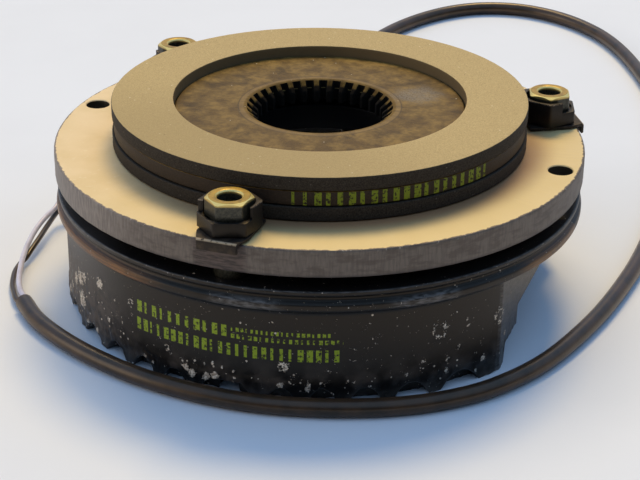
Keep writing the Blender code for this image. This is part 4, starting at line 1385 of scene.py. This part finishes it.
def ferrule(name, start, ahead, finish, node):
    """A crimped wire-end ferrule with a rounded tip."""
    stations = (0.0, 0.01, 0.4, 0.8, 2.0, 2.3, 4.0, 4.3, 6.0, 6.3, 7.6, 7.9, 8.0)
    radii = (0.6, 0.85, 0.95, 0.95, 0.95, 0.84, 0.84, 0.92, 0.92, 0.84, 0.84, 0.7, 0.5)
    tip = rod(name, [start + ahead * s for s in stations], radii, 24)
    return place(tip, "stator", "tinned_copper", finish, node)


def cable(looks):
    """Both leads, the sheath, and the two cores at its far end."""
    white = smooth_route(LEAD_WHITE_ROUTE, 0.8)
    black = smooth_route(LEAD_BLACK_ROUTE, 0.8)
    sheath = smooth_route(SHEATH_ROUTE, 2.5)
    first = wire("lead_light", white, LEAD_DIAMETER, looks["white"], "white_pvc", "lead_white")
    second = wire("lead_dark", black, LEAD_DIAMETER, looks["dark_lead"], "black_pvc", "lead_black")
    outer = wire("sheath", sheath, SHEATH_DIAMETER, looks["sheath"], "black_pvc", "cable_sheath")
    end = sheath[-1]
    forward = (sheath[-1] - sheath[-2]).normalized()
    side = Vector((-forward.y, forward.x, 0))
    for colour, sign, look in (("white", 1, looks["white"]), ("black", -1, looks["dark_lead"])):
        route = [
            end + forward * 0.3 + side * sign * 1.1,
            end + forward * 9 + side * sign * 2.2 - Vector((0, 0, 0.6)),
            end + forward * 19 + side * sign * 5.0 - Vector((0, 0, 1.4)),
            end + forward * 30 + side * sign * 6.5 - Vector((0, 0, 1.4)),
        ]
        line = smooth_route(route, 0.8)
        node = f"end_core_{colour}"
        core = wire(f"core_{colour}", line, LEAD_DIAMETER, look, f"{colour}_pvc", node)
        away = (line[-1] - line[-2]).normalized()
        tip = ferrule(f"ferrule_{colour}", line[-1] + away * 0.3, away, looks["tinned"], f"{node}_ferrule")


# ---------------------------------------------------------------- stage


def add_camera():
    """Looks down on the brake at the reference view's angle."""
    turn = Matrix.Rotation(math.radians(CAMERA_TURN), 3, "Z")
    elevation, roll = math.radians(CAMERA_ELEVATION), math.radians(CAMERA_ROLL)
    ahead = turn @ Vector((0.0, math.cos(elevation), -math.sin(elevation)))
    level = turn @ Vector((1.0, 0.0, 0.0))
    upward = level.cross(ahead)
    right = level * math.cos(roll) + upward * math.sin(roll)
    top = upward * math.cos(roll) - level * math.sin(roll)
    data = bpy.data.cameras.new("camera")
    data.sensor_width = 36.0
    data.lens = CAMERA_LENS
    camera = new_object("camera", data)
    aim = Vector((0.0, 0.0, ROTOR_TOP)) - top * CAMERA_LOWERED
    matrix = Matrix((right, top, -ahead)).transposed().to_4x4()
    matrix.translation = (aim - ahead * CAMERA_DISTANCE) * MM
    camera.matrix_world = matrix
    bpy.context.scene.camera = camera


def add_sun(name, from_azimuth, elevation, strength, colour, size):
    """A soft sun. from_azimuth is where it stands, in degrees from +X."""
    data = bpy.data.lights.new(name, "SUN")
    data.energy = strength
    data.color = colour
    data.angle = math.radians(size)
    sun = new_object(name, data)
    travel = -polar(math.cos(math.radians(elevation)), from_azimuth, math.sin(math.radians(elevation)))
    sun.rotation_euler = travel.to_track_quat("-Z", "Y").to_euler()


def add_world():
    """Cool light from above, a neutral horizon behind the brake and a dark one on the camera's side."""
    world = bpy.data.worlds.new("studio")
    bpy.context.scene.world = world
    sky = Nodes(world)
    direction = sky.node("TexCoord").outputs["Generated"]
    forward = sky.part_along(direction, CAMERA_SIDE)
    aside = sky.part_along(direction, CAMERA_LEFT)
    up = sky.part_along(direction, (0.0, 0.0, 1.0))
    height = sky.math("MINIMUM", sky.plus(sky.times(forward, -FRONT_SHADE), up), up)
    colour = sky.blend(sky.ramp(forward, -0.35, 0.35), HORIZON_BEHIND, HORIZON_IN_FRONT)
    colour = sky.blend(sky.ramp(aside, 0.5, 0.9), colour, HORIZON_LEFT)
    colour = sky.blend(sky.ramp(height, 0.02, 0.55), colour, ZENITH)
    sky.feed(colour, sky.tree.nodes["Background"].inputs[0])


def add_floor():
    """A wide, plain pale table."""
    reach = 4000.0
    mesh = bpy.data.meshes.new("table")
    outline = ((-1, -1), (1, -1), (1, 1), (-1, 1))
    points = [(x * reach * MM, y * reach * MM, -TABLE_GAP * MM) for x, y in outline]
    mesh.from_pydata(points, [], [(0, 1, 2, 3)])
    mesh.materials.append(floor_paper())
    table = new_object("table", mesh)


# ---------------------------------------------------------------- the brake


def build():
    """Makes the stage and every piece."""
    bpy.context.scene.view_settings.view_transform = "Standard"
    add_camera()
    add_world()
    add_sun("key", 98.0, 56.0, 1.8, KEY_COLOUR, 20.0)
    add_sun("second", 128.0, 52.0, 0.6, SECOND_COLOUR, 20.0)
    add_sun("side", 208.0, 14.0, 0.5, SIDE_COLOUR, 40.0)
    add_floor()
    looks = {
        "white": plastic("white_pvc", tone(214, 214, 232), tone(188, 186, 204), 0.3, coat=0.2),
        "dark_lead": plastic("dark_pvc", tone(50, 38, 28), tone(30, 24, 20), 0.25, coat=0.3),
        "sheath": plastic("sheath_pvc", tone(64, 46, 32), tone(36, 27, 20), 0.26, coat=0.2),
        "tinned": turned_steel("tinned_copper", tone(210, 206, 198), tone(160, 154, 146)),
    }
    cable(looks)
    paint = housing_paint()
    housing_shell(paint)
    housing_core(paint)
    gland(plastic("gland_rubber", tone(34, 33, 33), tone(24, 23, 24), 0.55, 0.06))
    armature_disc(plate_steel())
    lining_look = lining_composite()
    lining("lining_bottom", "friction_lining_lower", LOWER_LINING, lining_look)
    lining("lining_top", "friction_lining_upper", UPPER_LINING, lining_look)
    carrier(carrier_metal())
    brass, black, tab = chromated(), blackened(), worn_plate()
    for letter, degrees in SCREW_ANGLES.items():
        sleeve(letter, degrees, brass)
        nut(letter, degrees, black)
        lock_plate(letter, degrees, tab)
    wire_steel = turned_steel("spring_steel", tone(122, 116, 108), tone(70, 62, 54))
    for number in range(1, 7):
        spring(number, wire_steel)
    plain = turned_steel("plain_steel", tone(150, 144, 136), tone(96, 86, 74))
    thrust_ring(plain)
    adjuster(plain)
    inner_looks = {
        "coil_winding": wound_copper(),
        "coil_bobbin": plastic("bobbin_plastic", tone(214, 206, 180), tone(196, 184, 152), 0.45),
        "potting_ring": plastic("potting_resin", tone(58, 40, 30), tone(34, 24, 20), 0.25, coat=0.3),
    }
    for node, look in inner_looks.items():
        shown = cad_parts[node]
        shown.data.materials.clear()
        shown.data.materials.append(look)


build()
